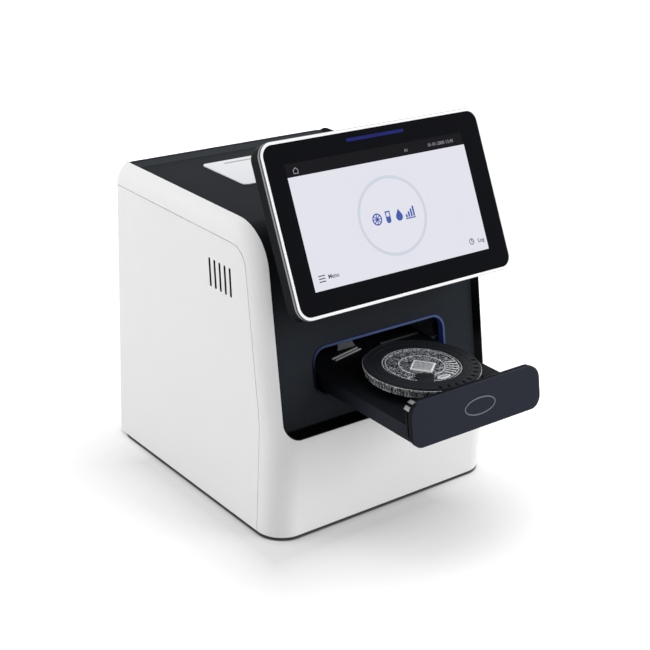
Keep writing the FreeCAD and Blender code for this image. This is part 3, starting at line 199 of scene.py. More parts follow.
materials = {
    # Moulded ABS: a satin white shell with a fine tool grain
    "whiteAbs": grained("mouldedWhiteAbs", "#EAEAEA", "#E7E7E8", 0.46, 0.5, 0.05, specular=0.2),
    # Moulded ABS: matt, even charcoal with hardly any shine
    "charcoalAbs": grained("mouldedCharcoalAbs", "#222529", "#202327", *mattAbs),
    # Painted shade: polished ABS made near black, so a recess, a ledge or a vent's walls read as deep gaps
    "rimAbs": grained("paintedShadeCoverRim", "#08080A", "#060608", 0.30, 0.45, 0.02, specular=0.05),
    # Painted light: moulded ABS made a touch lighter where the cover faces the light
    "frontAbs": grained("paintedLightCoverFront", "#292C31", "#272A2E", *mattAbs),
    # Painted light: moulded ABS made the lightest dark face, along the top's back edge, as if it caught the
    # light
    "coverLipLight": grained("paintedLightCoverLip", "#35383D", "#323539", *mattAbs),
    # Moulded ABS: matt, with a cool tint beside the neutral cover
    "drawerAbs": grained("mouldedDrawerAbs", "#252832", "#23262F", 0.50, 0.45, 0.08, specular=0.06),
    # Painted shade: moulded ABS made nearly black inside the slot, lighter towards the drawer's face
    "trayAbs": fadingSurface("paintedShadeTrayAbs", ("#0A0B0E", "#20232A"), None, *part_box("drawer_tray"),
                             toward=(0, -0.8, 0)),
    # Painted shade: moulded ABS made dull near black, so floors and shaded edges fall back
    "shadedTrayFloorAbs": grained("paintedShadeTrayFloor", "#121317", "#101115", 0.50, 0.45, 0.08, specular=0.05),
    # Polished ABS: a thin dark line round the drawer's face
    "glossDrawerAbs": grained("polishedDrawerAbs", "#0D0E11", "#0B0C0F", 0.30, 0.5, 0.0, specular=0.05,
                                     spread=0.02),
    # Moulded ABS: plain black with a soft sheen
    "blackAbs": grained("mouldedBlackAbs", "#151618", "#121315", 0.50, 0.5, 0.10, specular=0.15),
    # Moulded ABS: matt black, of which only the edges show
    "housingAbs": grained("mouldedDisplayHousing", "#0D0E10", "#0B0C0E", 0.50, 0.5, 0.06, specular=0.04),
    # Anodised aluminium: a bright, almost white line round the glass
    "silverTrim": grained("anodisedAluminiumTrim", "#F6F6F8", "#F0F0F2", 0.30, 0.2, 0.04, metallic=0.15),
    # Painted shade: satin aluminium made into a grey band on the trim's side, beside the bright line
    "trimSide": grained("paintedShadeTrimSide", "#77787C", "#717276", 0.40, 0.2, 0.04, metallic=0.3),
    # Painted shade: aluminium in a narrow groove, made a thin dark line between the two
    "trimGroove": grained("shadowedTrimGroove", "#2A2B2E", "#27282A", 0.50, 0.2, 0.02, specular=0.1),
    # Satin rolled steel: dull grey clips, and also the painted highlight strips on the drawer's corner
    "clipGreyAndHighlight": grained("satinSteelClipAndPaintedHighlight", "#7C7D82", "#75767B", *satinSteel),
    # Painted light: satin rolled steel made pale and almost not metallic, so the strips read as lit, the
    # brightest metal in the slot
    "paleStrip": grained("paintedLightSteelStrip", "#DADBDD", "#D0D1D4", *satinSteel),
    # Glass printed black behind: deep black under a sharp gloss
    "inkedGlass": grained("inkedCoverGlass", "#0D0E12", "#0C0D11", 0.10, 8.0, 0.0, specular=0.03,
                                 spread=0.02),
    # Backlit display film: flat, even tones
    "screenWhite": litSurface("litScreenWhite", "#E4E4ED", "#E2E2EC"),
    "screenBar": litSurface("litScreenBar", "#151419", "#141318"),
    "screenPale": litSurface("litScreenPaleRing", "#CDD3DC", "#D2D8E1"),
    "screenFaint": litSurface("litScreenFaintRays", "#E0E2EB", "#DEE1EB"),
    "screenBlue": litSurface("litScreenBlue", "#4860AE", "#4159AA"),
    "screenGrey": litSurface("litScreenGrey", "#4A4B52", "#4E4F56"),
    "screenLight": litSurface("litScreenLight", "#9A9BA2", "#93949B"),
    # Lit acrylic: a deep blue bar of light above the screen
    "statusBlue": litSurface("litStatusBlue", "#232872", "#1E2268"),
    # Lit acrylic guide: a blue glow of its own, and a painted sheen in its colour that grows to the right and
    # top, with painted shade at the left
    "ringGlowAndSheen": fadingSurface("litRingBluePaintedSheen", ("#080B16", "#465474"), ("#000105", "#0D1836"),
                              *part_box("slot_light_ring")),
    # Painted shade: the guide's inner walls are made dimmer than their front, so the slot looks deep
    "ringWall": fadingSurface("litRingWallPaintedShade", ("#04060C", "#121A36"), ("#000103", "#0B1230"),
                              *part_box("slot_light_ring")),
    # Printed polyester film: smooth, pale and slightly cool
    "labelFilm": grained("printedLabelFilm", "#E6E7EB", "#E2E3E8", *printed),
    # Screen printed ink: a plain grey line on the pale film
    "labelInk": grained("printedGreyLine", "#9A9BA1", "#95969C", *printed),
    # Pad printed ink: a soft grey oval on the dark face
    "markPaint": grained("paddedGreyInk", "#5A5C64", "#54565E", *printed),
    # Moulded nitrile rubber: dull black with a coarse grain
    "rubber": grained("mouldedNitrileRubber", "#1D1D1E", "#181819", 0.80, 0.6, 0.20),
    # Zinc plated rolled steel: grey with fine lines along the sheet
    "zincSteel": brushedMetal("zincPlatedSteel", "#B9BBC0", "#A4A6AB", 0.38, 0.4, 1),
    # Nickel plated steel: bright, with faint drawn lines
    "brightSteel": brushedMetal("brightPlatedSteel", "#D8D9DB", "#C6C7C9", 0.30, 0.3, 0, metallic=0.85),
    # Blackened steel: a dim bar with a weak streak of light
    "darkSteel": brushedMetal("blackenedSteelBar", "#4C4E52", "#404246", 0.40, 0.3, 0, metallic=0.4),
    # Turned steel can: mid grey with fine tool lines
    "motorSteel": brushedMetal("turnedMotorCan", "#8F9196", "#7E8085", 0.35, 0.3, 0),
    # Machined acetal: milky white and slightly waxy
    "acetal": grained("machinedAcetal", "#DEDDD6", "#D6D5CD", 0.45, 0.5, 0.06),
    # Polyimide film over copper: amber with a soft gloss
    "heaterFilm": grained("polyimideHeaterFilm", "#A85F1E", "#925018", 0.30, 0.8, 0.05),
    # Solder mask on glass fibre: green, with the weave faintly seen
    "solderMask": grained("solderMaskBoard", "#15502C", "#124626", 0.35, 0.7, 0.08),
    # Folded sheet steel: pale satin with lines along the fold
    "supplySteel": brushedMetal("foldedSupplyCase", "#BFC1C4", "#B1B3B6", 0.42, 0.4, 1),
    # Moulded polystyrene wall: painted reflections, bright upright streaks with dark gaps
    "clearWall": crumpledClear("clearRotorWallPaintedReflections", "#3C3E41", "#E6E8EA", 1.1, stretch=(1.0, 1.0, 0.12)),
    # Moulded polystyrene chambers: painted reflections, pale crumpled facets over dark wells
    "clearCentre": crumpledClear("clearRotorChambersPaintedReflections", "#26282D", "#CFD3DB", 2.1, 0.45),
    # Moulded polystyrene ridge: a painted highlight, almost all bright
    "clearRidgeHighlight": crumpledClear("clearRotorRidgesPaintedHighlight", "#9A9DA2", "#FAFBFC", 3.0, 0.34),
    # Moulded black polystyrene: a soft satin ring
    "rotorBlack": grained("mouldedRotorBlack", "#25272B", "#222428", 0.36, 0.4, 0.08, specular=0.08),
    # Heat sealed film: pale grey and crumpled by what lies under it
    "rotorFoil": crumpledClear("sealedRotorFilm", "#9EA0A5", "#DCDDE1", 0.9, 0.40),
    # Printed white border: the brightest lines on the rotor; the same white also paints highlights on the
    # tops of the chambers' walls
    "rotorBorderAndHighlight": grained("printedRotorBorderAndPaintedHighlight", "#FFFFFF", "#F8F9FA", *printed, specular=0.6),
    # Ground optical glass: clear, with a sharp highlight
    "glassLens": groundGlass("groundGlassLens", "#F4F8FA", 0.02, 0.95, 6.0, 0.05),
}

nodeMaterials = {
    "whiteAbs": ["front_shell", "left_side_panel", "right_side_panel", "rear_panel"],
    "charcoalAbs": ["dark_cover"],
    "drawerAbs": ["drawer_face"],
    "trayAbs": ["drawer_tray"],
    "glossDrawerAbs": ["drawer_flange"],
    "blackAbs": ["power_inlet", "switch_frame", "power_rocker", "fan_frame", "fan_rotor", "code_reader",
                 "optics_module", "lamp_module"],
    "housingAbs": ["display_housing"],
    "silverTrim": ["display_trim"],
    "inkedGlass": ["display_glass"],
    "ringGlowAndSheen": ["slot_light_ring"],
    "statusBlue": ["status_light"],
    "labelFilm": ["cover_plate"],
    "markPaint": ["drawer_mark"],
    "rubber": ["feet"],
    "zincSteel": ["base_plate", "left_frame_plate", "right_frame_plate", "drive_deck", "chamber_roof",
                  "chamber_back_wall", "left_rail", "right_rail", "motor_mount", "hinge_bracket",
                  "hinge_lug"],
    "darkSteel": ["stop_bar"],
    "paleStrip": ["latch_strips"],
    "clipGreyAndHighlight": ["sensor_flag"],
    "brightSteel": ["hinge_pin", "rear_screws", "inlet_pins", "usb_sockets", "network_socket",
                    "display_panel"],
    "motorSteel": ["gear_motor", "spindle_motor"],
    "acetal": ["drawer_rack", "drive_pinion", "spindle_hub", "board_standoffs"],
    "heaterFilm": ["chamber_heater"],
    "solderMask": ["main_board", "display_board"],
    "supplySteel": ["power_supply"],
    "clearWall": ["rotor_base"],
    "glassLens": ["lamp_lens"],
    "rotorBlack": ["rotor_ring", "rotor_port"],
    "rotorFoil": ["rotor_foil"],
}
nodeFinish = {node: key for key, nodes in nodeMaterials.items() for node in nodes}
for node, key in nodeFinish.items():
    mesh = frame["nodes"][node].data
    mesh.materials.clear()
    mesh.materials.append(materials[key])
print("materials on", len(nodeFinish), "nodes")

nodeBody = {node: body for body, nodes in frame["record"]["behaviour"]["bodies"].items() for node in nodes}


def addObject(name, data):
    piece = bpy.data.objects.new(name, data)
    bpy.context.scene.collection.objects.link(piece)
    return piece


def deselect():
    if bpy.context.object and bpy.context.object.mode != "OBJECT":
        bpy.ops.object.mode_set(mode="OBJECT")
    bpy.ops.object.select_all(action="DESELECT")


def selectOnly(piece):
    deselect()
    piece.select_set(True)
    bpy.context.view_layer.objects.active = piece


def editMode(piece):
    selectOnly(piece)
    bpy.ops.object.mode_set(mode="EDIT")
    bpy.ops.mesh.select_mode(type="FACE")
    bpy.ops.mesh.select_all(action="DESELECT")


def selectAll():
    bpy.ops.mesh.select_all(action="SELECT")


def selectFaces(piece, test):
    mesh = bmesh.from_edit_mesh(piece.data)
    for face in mesh.faces:
        face.select_set(bool(test(face.calc_center_median(), face.normal)))
    mesh.select_flush_mode()
    bmesh.update_edit_mesh(piece.data)


def selectEdges(piece, test):
    bpy.ops.mesh.select_mode(type="EDGE")
    mesh = bmesh.from_edit_mesh(piece.data)
    for edge in mesh.edges:
        edge.select_set(bool(test(edge)))
    bmesh.update_edit_mesh(piece.data)


def facesUp(c, n):
    return n.z > 0.9


def facesDown(c, n):
    return n.z < -0.9


def insetSteps(steps):
    # Each step goes inwards by its first number and up or down by its second, in millimetres
    for width, rise in steps:
        bpy.ops.mesh.inset(thickness=width * mm, depth=rise * mm)


def raiseFaces(rise):
    bpy.ops.mesh.extrude_region_move(TRANSFORM_OT_translate={"value": (0, 0, rise * mm)})


def applyModifier(piece, kind, **settings):
    selectOnly(piece)
    modifier = piece.modifiers.new(kind.lower(), kind)
    for key, value in settings.items():
        setattr(modifier, key, value)
    bpy.ops.object.modifier_apply(modifier=modifier.name)


def roundEdges(piece, radius):
    applyModifier(piece, "BEVEL", width=radius * mm, segments=2, limit_method="ANGLE")


def settle(piece):
    # Puts the object at the origin, with its place in its mesh
    selectOnly(piece)
    bpy.ops.object.transform_apply(location=True, rotation=True, scale=True)


def finishPiece(piece, name, body, key, replaced=(), smooth=30):
    settle(piece)
    bpy.ops.object.shade_smooth_by_angle(angle=radians(smooth))
    piece.name = name
    piece.data.materials.clear()
    piece.data.materials.append(materials[key])
    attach(piece, body)
    if replaced:
        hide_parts(*replaced)


# Visible CAD shapes get the small edge radius that a mould leaves, in millimetres
edgeRadius = {
    "front_shell": 0.5, "left_side_panel": 0.35, "right_side_panel": 0.35, "rear_panel": 0.4,
    "dark_cover": 0.3, "drawer_face": 0.45, "drawer_flange": 0.3, "drawer_tray": 0.5,
    "display_trim": 0.12, "display_glass": 0.12, "display_housing": 0.3, "slot_light_ring": 0.25,
    "cover_plate": 0.15, "feet": 0.5, "switch_frame": 0.25, "power_rocker": 0.25, "power_inlet": 0.3,
    "base_plate": 0.3, "stop_bar": 0.15, "sensor_flag": 0.12, "latch_strips": 0.12, "spindle_motor": 0.3,
    "spindle_hub": 0.3, "hinge_bracket": 0.4, "hinge_lug": 0.4, "usb_sockets": 0.12, "network_socket": 0.15,
    "rear_screws": 0.15,
}
softening = {"merge": 0.002, "flatDegrees": 0.6, "sharpDegrees": 32}
# These have openings in a flat face, so their faces aren't merged first
openPanels = ("rear_panel", "left_side_panel", "right_side_panel", "base_plate", "power_inlet", "usb_sockets",
              "network_socket", "switch_frame", "feet")


def softenNode(node, radius):
    piece = addObject("soft", frame["nodes"][node].data.copy())
    editMode(piece)
    selectAll()
    bpy.ops.mesh.remove_doubles(threshold=softening["merge"] * mm)
    if node not in openPanels:
        bpy.ops.mesh.dissolve_limited(angle_limit=radians(softening["flatDegrees"]))
    applyModifier(piece, "BEVEL", width=radius * mm, segments=2, limit_method="ANGLE",
                  angle_limit=radians(softening["sharpDegrees"]), use_clamp_overlap=True,
                  miter_outer="MITER_ARC")
    words = node.split("_")
    name = words[0] + "".join(w.capitalize() for w in words[1:]) + "Moulded"
    finishPiece(piece, name, nodeBody[node], nodeFinish[node], (node,))
    applyModifier(piece, "WEIGHTED_NORMAL", keep_sharp=True)
    return piece


def paintFaces(piece, key, test):
    # Gives the faces found by place and direction a second finish
    piece.data.materials.append(materials[key])
    editMode(piece)
    selectFaces(piece, test)
    piece.active_material_index = len(piece.data.materials) - 1
    bpy.ops.object.material_slot_assign()
    bpy.ops.object.mode_set(mode="OBJECT")


softened = {node: softenNode(node, radius) for node, radius in edgeRadius.items()}

# Painted light and shade on the cover: the walls of its recess are painted near black so they read as gaps,
# the front and the rear lip are painted a little lighter than the top, as if they caught more light, and the
# chin's ledge near black, as if it caught almost none. The limits tell them apart, in millimetres
coverPaint = {"walls": 88, "lip": 100, "ledge": 90}
cover = softened["dark_cover"]
paintFaces(cover, "rimAbs", lambda c, n: n.x * c.x < -0.6 * abs(c.x) and abs(c.x) > coverPaint["walls"] * mm)
paintFaces(cover, "frontAbs", lambda c, n: n.y < -0.7)
paintFaces(cover, "coverLipLight", lambda c, n: n.y < -0.35 and n.z > 0.85 and c.y > coverPaint["lip"] * mm)
paintFaces(cover, "rimAbs", lambda c, n: n.y < -0.2 and n.z > 0.85 and c.z < coverPaint["ledge"] * mm)
# Painted shade: the tray's upper faces and the drawer face's left side are made dull near black
paintFaces(softened["drawer_tray"], "shadedTrayFloorAbs", lambda c, n: n.z > 0.5)
paintFaces(softened["drawer_face"], "shadedTrayFloorAbs", lambda c, n: n.x < -0.3)

# The vents lean back a little and stand closer, and painted shade on their inner walls makes them read as
# openings
vents = {"count": 5, "middle": 7.24, "pitch": 6.8, "closer": 0.8, "level": 175.8, "reach": 2.0, "tall": 12,
         "span": 20, "leanDegrees": 7, "forward": 1.75, "lower": 0.5}


def atVentLevel(c):
    return abs(c.z - vents["level"] * mm) < vents["tall"] * mm


for side in ("left_side_panel", "right_side_panel"):
    panel = softened[side]
    # The rear vent goes first, so that none moves into its neighbour's reach
    for i in reversed(range(vents["count"])):
        y = (vents["middle"] + (i - (vents["count"] - 1) / 2) * vents["pitch"]) * mm
        editMode(panel)
        selectFaces(panel, lambda c, n: abs(n.x) < 0.99 and atVentLevel(c)
                    and abs(c.y - y) < vents["reach"] * mm)
        bpy.ops.transform.rotate(value=radians(vents["leanDegrees"]), orient_axis="X",
                                 center_override=(0, y, vents["level"] * mm))
        back = (vents["count"] - 1 - i) * vents["closer"] - vents["forward"]
        bpy.ops.transform.translate(value=(0, back * mm, -vents["lower"] * mm))
        bpy.ops.object.mode_set(mode="OBJECT")
    paintFaces(panel, "rimAbs", lambda c, n: abs(n.x) < 0.7 and atVentLevel(c)
               and abs(c.y - vents["middle"] * mm) < vents["span"] * mm)
print("softened", len(softened), "housings")

# The display's own frame: x right, y along the glass normal into the display, z up along the glass.
# Each layer on the glass stands proud of the one below
display = {"tiltDegrees": 26.44, "glassThick": 1.8, "proud": 0.06, "thick": 0.05}
areaLayer, markLayer, signLayer = 1, 2, 3
glassLow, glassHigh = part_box("display_glass")
glassTilt = Matrix.Rotation(-radians(display["tiltDegrees"]), 4, "X")
glassMiddle = (glassLow + glassHigh) / 2
glassFace = glassMiddle + glassTilt @ Vector((0, -display["glassThick"] / 2 * mm, 0))
toGlass = Matrix.Translation(glassFace) @ glassTilt
glassNormal = glassTilt @ Vector((0, -1, 0))

# The trim has a bright front edge, and painted shade gives it a dark groove behind it and a grey side; the
# ring's walls are painted dimmer
groove = {"near": 0.33, "far": 1.07}
trim = softened["display_trim"]
trimFront = max((vertex.co - glassFace).dot(glassNormal) for vertex in trim.data.vertices)
paintFaces(trim, "trimSide", lambda c, n: abs(n.dot(glassNormal)) < 0.9)
paintFaces(trim, "trimGroove", lambda c, n: groove["near"] * mm
           < trimFront - (c - glassFace).dot(glassNormal) < groove["far"] * mm)
paintFaces(softened["slot_light_ring"], "ringWall", lambda c, n: n.y > -0.5)


def outlineSheet(points):
    # A single face from an outline, left in edit mode
    mesh = bpy.data.meshes.new("sheet")
    mesh.from_pydata(points, [], [range(len(points))])
    piece = addObject("sheet", mesh)
    editMode(piece)
    return piece


def turnOutwards():
    selectAll()
    bpy.ops.mesh.normals_make_consistent(inside=False)


def thicken(move):
    # Gives the open sheet a thickness, with its faces outwards
    selectAll()
    bpy.ops.mesh.extrude_region_move(TRANSFORM_OT_translate={"value": move})
    turnOutwards()
    bpy.ops.object.mode_set(mode="OBJECT")


def onGlass(piece, x, z, layer):
    # Thickens a sheet and places it on the glass, by millimetres across and up and its layer
    thicken((0, -display["thick"] * mm, 0))
    piece.location = (x * mm, -display["proud"] * layer * mm, z * mm)
    bpy.context.view_layer.update()
    piece.matrix_world = toGlass @ piece.matrix_world
    return piece


def flatShape(points, layer):
    piece = outlineSheet([(x * mm, 0, z * mm) for x, z in points])
    return onGlass(piece, 0, 0, layer)


def ringSheet(x, z, inner, outer, layer, count=72, squash=1.0):
    # An annulus: a circle with its middle inset and removed
    deselect()
    bpy.ops.mesh.primitive_circle_add(vertices=count, radius=outer * mm, fill_type="NGON")
    piece = bpy.context.object
    piece.rotation_euler.x = radians(90)
    piece.scale.y = squash
    settle(piece)
    editMode(piece)
    selectAll()
    bpy.ops.mesh.inset(thickness=(outer - inner) * mm)
    bpy.ops.mesh.delete(type="FACE")
    return onGlass(piece, x, z, layer)


def lineSheet(start, stop, wide, layer):
    length = hypot(stop[0] - start[0], stop[1] - start[1])
    ax, az = -(stop[1] - start[1]) / length * wide / 2, (stop[0] - start[0]) / length * wide / 2
    return flatShape([(start[0] - ax, start[1] - az), (stop[0] - ax, stop[1] - az),
                      (stop[0] + ax, stop[1] + az), (start[0] + ax, start[1] + az)], layer)


def boxPoints(x0, x1, z0, z1):
    return [(x0, z0), (x1, z0), (x1, z1), (x0, z1)]


def arcPoints(x, z, radius, start, sweep, steps, squash=1.0):
    # Points along an arc with both its ends, turned in degrees
    turns = [radians(start + sweep * i / steps) for i in range(steps + 1)]
    return [(x + radius * cos(turn), z + squash * radius * sin(turn)) for turn in turns]


def roundedBox(x0, x1, z0, z1, radius, steps):
    points = []
    for x, z, start in ((x1 - radius, z0 + radius, -90), (x1 - radius, z1 - radius, 0),
                        (x0 + radius, z1 - radius, 90), (x0 + radius, z0 + radius, 180)):
        points += arcPoints(x, z, radius, start, 90, steps)
    return points


def strokes(x, z, ends, wide, layer):
    # Straight strokes, whose two ends are given from the middle of their sign
    return [lineSheet((x + x0, z + z0), (x + x1, z + z1), wide, layer) for x0, z0, x1, z1 in ends]


def joinPieces(pieces):
    deselect()
    for piece in pieces:
        piece.select_set(True)
    bpy.context.view_layer.objects.active = pieces[0]
    bpy.ops.object.join()
    return pieces[0]


def screenPiece(pieces, name, key):
    piece = joinPieces(pieces) if len(pieces) > 1 else pieces[0]
    finishPiece(piece, name, "display", key, smooth=10)


# Type size for one unit of letter height, then millimetres
lettering = {"sizeForHeight": 1.38, "proud": 0.03, "halfThick": 0.015, "bolder": 0.06}


def screenWords(words, x, z, tall, bolder=0.0):
    # Generic words and digits, set flat on the glass with their left end and middle height at x and z
    deselect()
    bpy.ops.object.text_add()
    piece = bpy.context.object
    piece.data.body = words
    piece.data.size = tall * lettering["sizeForHeight"] * mm
    piece.data.offset = bolder * mm
    piece.data.extrude = lettering["halfThick"] * mm
    piece.data.align_y = "CENTER"
    piece.data.resolution_u = 3
    bpy.ops.object.convert(target="MESH")
    piece.rotation_euler.x = radians(90)
    piece.location = (x * mm, -(display["proud"] * markLayer + lettering["proud"]) * mm, z * mm)
    settle(piece)
    piece.matrix_world = toGlass @ piece.matrix_world
    return piece


# The lit area, the bar above it, and a pale ring with faint rays round it
screen = {"white": (-78.4, 75.9, -41.5, 33.7), "bar": (-78.8, 75.0, 33.7, 42.5),
          "ring": (-1.5, -4.1, 27.4, 29.6), "squash": 0.925,
          "rays": 72, "rayEnds": (30.6, 36.0), "rayHalf": 0.35}
screenPiece([flatShape(boxPoints(*screen["white"]), areaLayer)], "screenArea", "screenWhite")
screenPiece([flatShape(boxPoints(*screen["bar"]), areaLayer)], "screenStatusBar", "screenBar")
screenPiece([ringSheet(*screen["ring"], markLayer, squash=screen["squash"])], "screenPaleRing", "screenPale")
ringX, ringZ = screen["ring"][:2]
raySheets = []
for i in range(screen["rays"]):
    turn = 2 * pi * i / screen["rays"]
    ax, az = -sin(turn) * screen["rayHalf"], cos(turn) * screen["rayHalf"]
    (nearX, nearZ), (farX, farZ) = [(ringX + r * cos(turn), ringZ + r * screen["squash"] * sin(turn))
                                    for r in screen["rayEnds"]]
    raySheets.append(flatShape([(nearX - ax, nearZ - az), (farX - ax, farZ - az),
                                (farX + ax, farZ + az), (nearX + ax, nearZ + az)], markLayer))
screenPiece(raySheets, "screenFaintRays", "screenFaint")

# A home outline and generic digits in the bar, a menu and a clock sign with plain words below
icons = {"home": (-70.9, 37.5), "house": ((-1.8, -1.8), (1.8, -1.8), (1.8, 0.54), (0, 1.98), (-1.8, 0.54)),
         "menu": (-70.8, -33.9), "menuLines": [(-2.6, rise, 2.6, rise) for rise in (-1.9, 0, 1.9)],
         "clock": (61.8, -33.8), "clockRim": (1.65, 2.2), "hands": ((0, 0, 0, 2.2), (0, 0, 1.32, 0)),
         "thin": 0.5, "thick": 0.7}
barWords = (("A1", 21.4, 37.1, 2.2), ("01-01-2000 12:45", 43.2, 37.6, 2.4))
lowWords = (("Menu", -65.8, -33.7, 2.9), ("Log", 67.6, -34.2, 2.9))
house = icons["house"]
walls = [(*corner, *following) for corner, following in zip(house, house[1:] + house[:1])]
barMarks = strokes(*icons["home"], walls, icons["thin"], markLayer)
barMarks += [screenWords(*entry) for entry in barWords]
screenPiece(barMarks, "screenBarMarks", "screenLight")
greyMarks = strokes(*icons["menu"], icons["menuLines"], icons["thick"], markLayer)
greyMarks += [screenWords(*entry, lettering["bolder"]) for entry in lowWords]
greyMarks.append(ringSheet(*icons["clock"], *icons["clockRim"], markLayer, 36))
greyMarks += strokes(*icons["clock"], icons["hands"], icons["thin"], markLayer)
screenPiece(greyMarks, "screenGreyMarks", "screenGrey")

# Four generic signs in the middle: a rotor, a tube, a drop and a bar chart
sign = {"level": -4.5, "top": 4.1, "places": (-15.4, -5.8, 3.8, 13.4)}
rotorSign = {"rim": (3.2, 4.1), "hub": 1.3, "spokes": 8, "spokeEnds": (1.3, 3.6), "spokeWide": 0.7}
tubeSign = {"mouth": (-2.2, 3.7, 2.2, 3.7), "mouthWide": 0.9, "side": 1.6, "wallWide": 0.8, "foot": -2.6,
            "fill": 0.4, "bowl": 2.0, "bowlSquash": 0.85, "bowlLevel": -2.4}
dropSign = {"radius": 2.9, "level": -1.2}
chartSign = {"bars": 4, "left": -4.0, "step": 2.2, "wide": 1.4, "foot": -2.9, "first": -0.8, "rise": 1.6,
             "corner": 0.2, "base": (-4.3, -3.7, 4.3, -3.7), "baseWide": 0.8}
level = sign["level"]
rotorX, tubeX, dropX, chartX = sign["places"]
near, far = rotorSign["spokeEnds"]
turns = [2 * pi * i / rotorSign["spokes"] for i in range(rotorSign["spokes"])]
spokes = [(near * cos(turn), near * sin(turn), far * cos(turn), far * sin(turn)) for turn in turns]
signs = [ringSheet(rotorX, level, *rotorSign["rim"], signLayer, 40),
         flatShape(arcPoints(rotorX, level, rotorSign["hub"], 0, 360, 24)[:-1], signLayer)]
signs += strokes(rotorX, level, spokes, rotorSign["spokeWide"], signLayer)

side, foot = tubeSign["side"], tubeSign["foot"]
signs += strokes(tubeX, level, [tubeSign["mouth"]], tubeSign["mouthWide"], signLayer)
signs += strokes(tubeX, level, [(x, sign["top"], x, foot) for x in (-side, side)], tubeSign["wallWide"],
                 signLayer)
bowl = arcPoints(tubeX, level + tubeSign["bowlLevel"], tubeSign["bowl"], 190, 160, 10, tubeSign["bowlSquash"])
signs.append(flatShape([(tubeX - side, level + tubeSign["fill"]), (tubeX - side, level + foot), *bowl,
                        (tubeX + side, level + foot), (tubeX + side, level + tubeSign["fill"])], signLayer))

drop = arcPoints(dropX, level + dropSign["level"], dropSign["radius"], -210, 240, 24)
signs.append(flatShape(drop + [(dropX, level + sign["top"])], signLayer))

for i in range(chartSign["bars"]):
    barLeft = chartX + chartSign["left"] + chartSign["step"] * i
    barTop = level + chartSign["first"] + chartSign["rise"] * i
    signs.append(flatShape(roundedBox(barLeft, barLeft + chartSign["wide"], level + chartSign["foot"], barTop,
                                      chartSign["corner"], 2), signLayer))
signs += strokes(chartX, level, [chartSign["base"]], chartSign["baseWide"], signLayer)
screenPiece(signs, "screenSigns", "screenBlue")

# The status light's bar above the screen
light = {"half": 25.0, "low": 49.8, "tall": 2.2, "corner": 1.0}
bar = flatShape(roundedBox(-light["half"], light["half"], light["low"], light["low"] + light["tall"],
                           light["corner"], 6), areaLayer)
finishPiece(bar, "statusLightBar", "display", "statusBlue", smooth=10)

# Painted highlight: two pale strips wrap the left top corner behind the drawer's face, where its rounding
# would catch the light: degrees, place along y, length
corner = {"radius": 8.9, "under": 0.4, "thick": 0.3, "wide": 3.0, "edge": 0.08,
          "strips": ((35, -137.7, 6.6), (69, -137.4, 7.0))}
faceLow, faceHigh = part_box("drawer_face")
cornerX = faceLow.x + corner["radius"] * mm
cornerZ = faceHigh.z - corner["radius"] * mm
reach = (corner["radius"] - corner["under"]) * mm
strips = []
for degrees, alongY, length in corner["strips"]:
    turn = radians(degrees)
    deselect()
    bpy.ops.mesh.primitive_cube_add(
        size=1, scale=(corner["thick"] * mm, length * mm, corner["wide"] * mm), rotation=(0, turn, 0),
        location=(cornerX - reach * cos(turn), alongY * mm, cornerZ + reach * sin(turn)))
    strip = bpy.context.object
    settle(strip)
    roundEdges(strip, corner["edge"])
    strips.append(strip)
finishPiece(joinPieces(strips), "drawerCornerHighlightStrips", "drawer", "clipGreyAndHighlight")

# A short printed line on the plate on top
line = {"inX": 16.0, "inY": 6.5, "long": 34.0, "wide": 2.2, "thick": 0.08, "rise": 0.02}
plateLow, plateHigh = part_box("cover_plate")
deselect()
bpy.ops.mesh.primitive_cube_add(
    size=1, scale=(line["long"] * mm, line["wide"] * mm, line["thick"] * mm),
    location=(plateLow.x + (line["inX"] + line["long"] / 2) * mm, plateHigh.y - line["inY"] * mm,
              plateHigh.z + line["rise"] * mm))
finishPiece(bpy.context.object, "plateLine", "chassis", "labelInk", smooth=10)
print("display screen drawn")

# Reagent rotor: a clear wheel with a drafted wall of cuvettes and a raised rim
rotor = {"radius": 40.75, "ribs": 60, "wallInset": 0.3, "ribStep": 0.15, "ribDepth": 1.3, "draft": 0.955,
         "below": ((6.0, 0), (0.8, -2.0), (12.0, 0), (0.8, 2.0)), "lip": 0.5, "lipRise": 0.9, "gap": 0.05,
         "middle": 2, "lipBeyond": 30, "ridgeBeyond": 40}
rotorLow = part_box("rotor_base")[0]
rotorRingLow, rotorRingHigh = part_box("rotor_ring")
rotorCentre = (rotorRingLow + rotorRingHigh) / 2
ringBottom = rotorRingLow.z
ringTop = rotorRingHigh.z


def addCylinder(radiusMm, low, high, vertices):
    deselect()
    bpy.ops.mesh.primitive_cylinder_add(vertices=vertices, radius=radiusMm * mm, depth=high - low,
                                        location=(rotorCentre.x, rotorCentre.y, (low + high) / 2))
    piece = bpy.context.object
    settle(piece)
    return piece


def fromAxis(point):
    return hypot(point.x - rotorCentre.x, point.y - rotorCentre.y)


def turnAboutAxis(piece, angle):
    turn = Matrix.Rotation(angle, 4, "Z")
    piece.data.transform(Matrix.Translation(rotorCentre) @ turn @ Matrix.Translation(-rotorCentre))


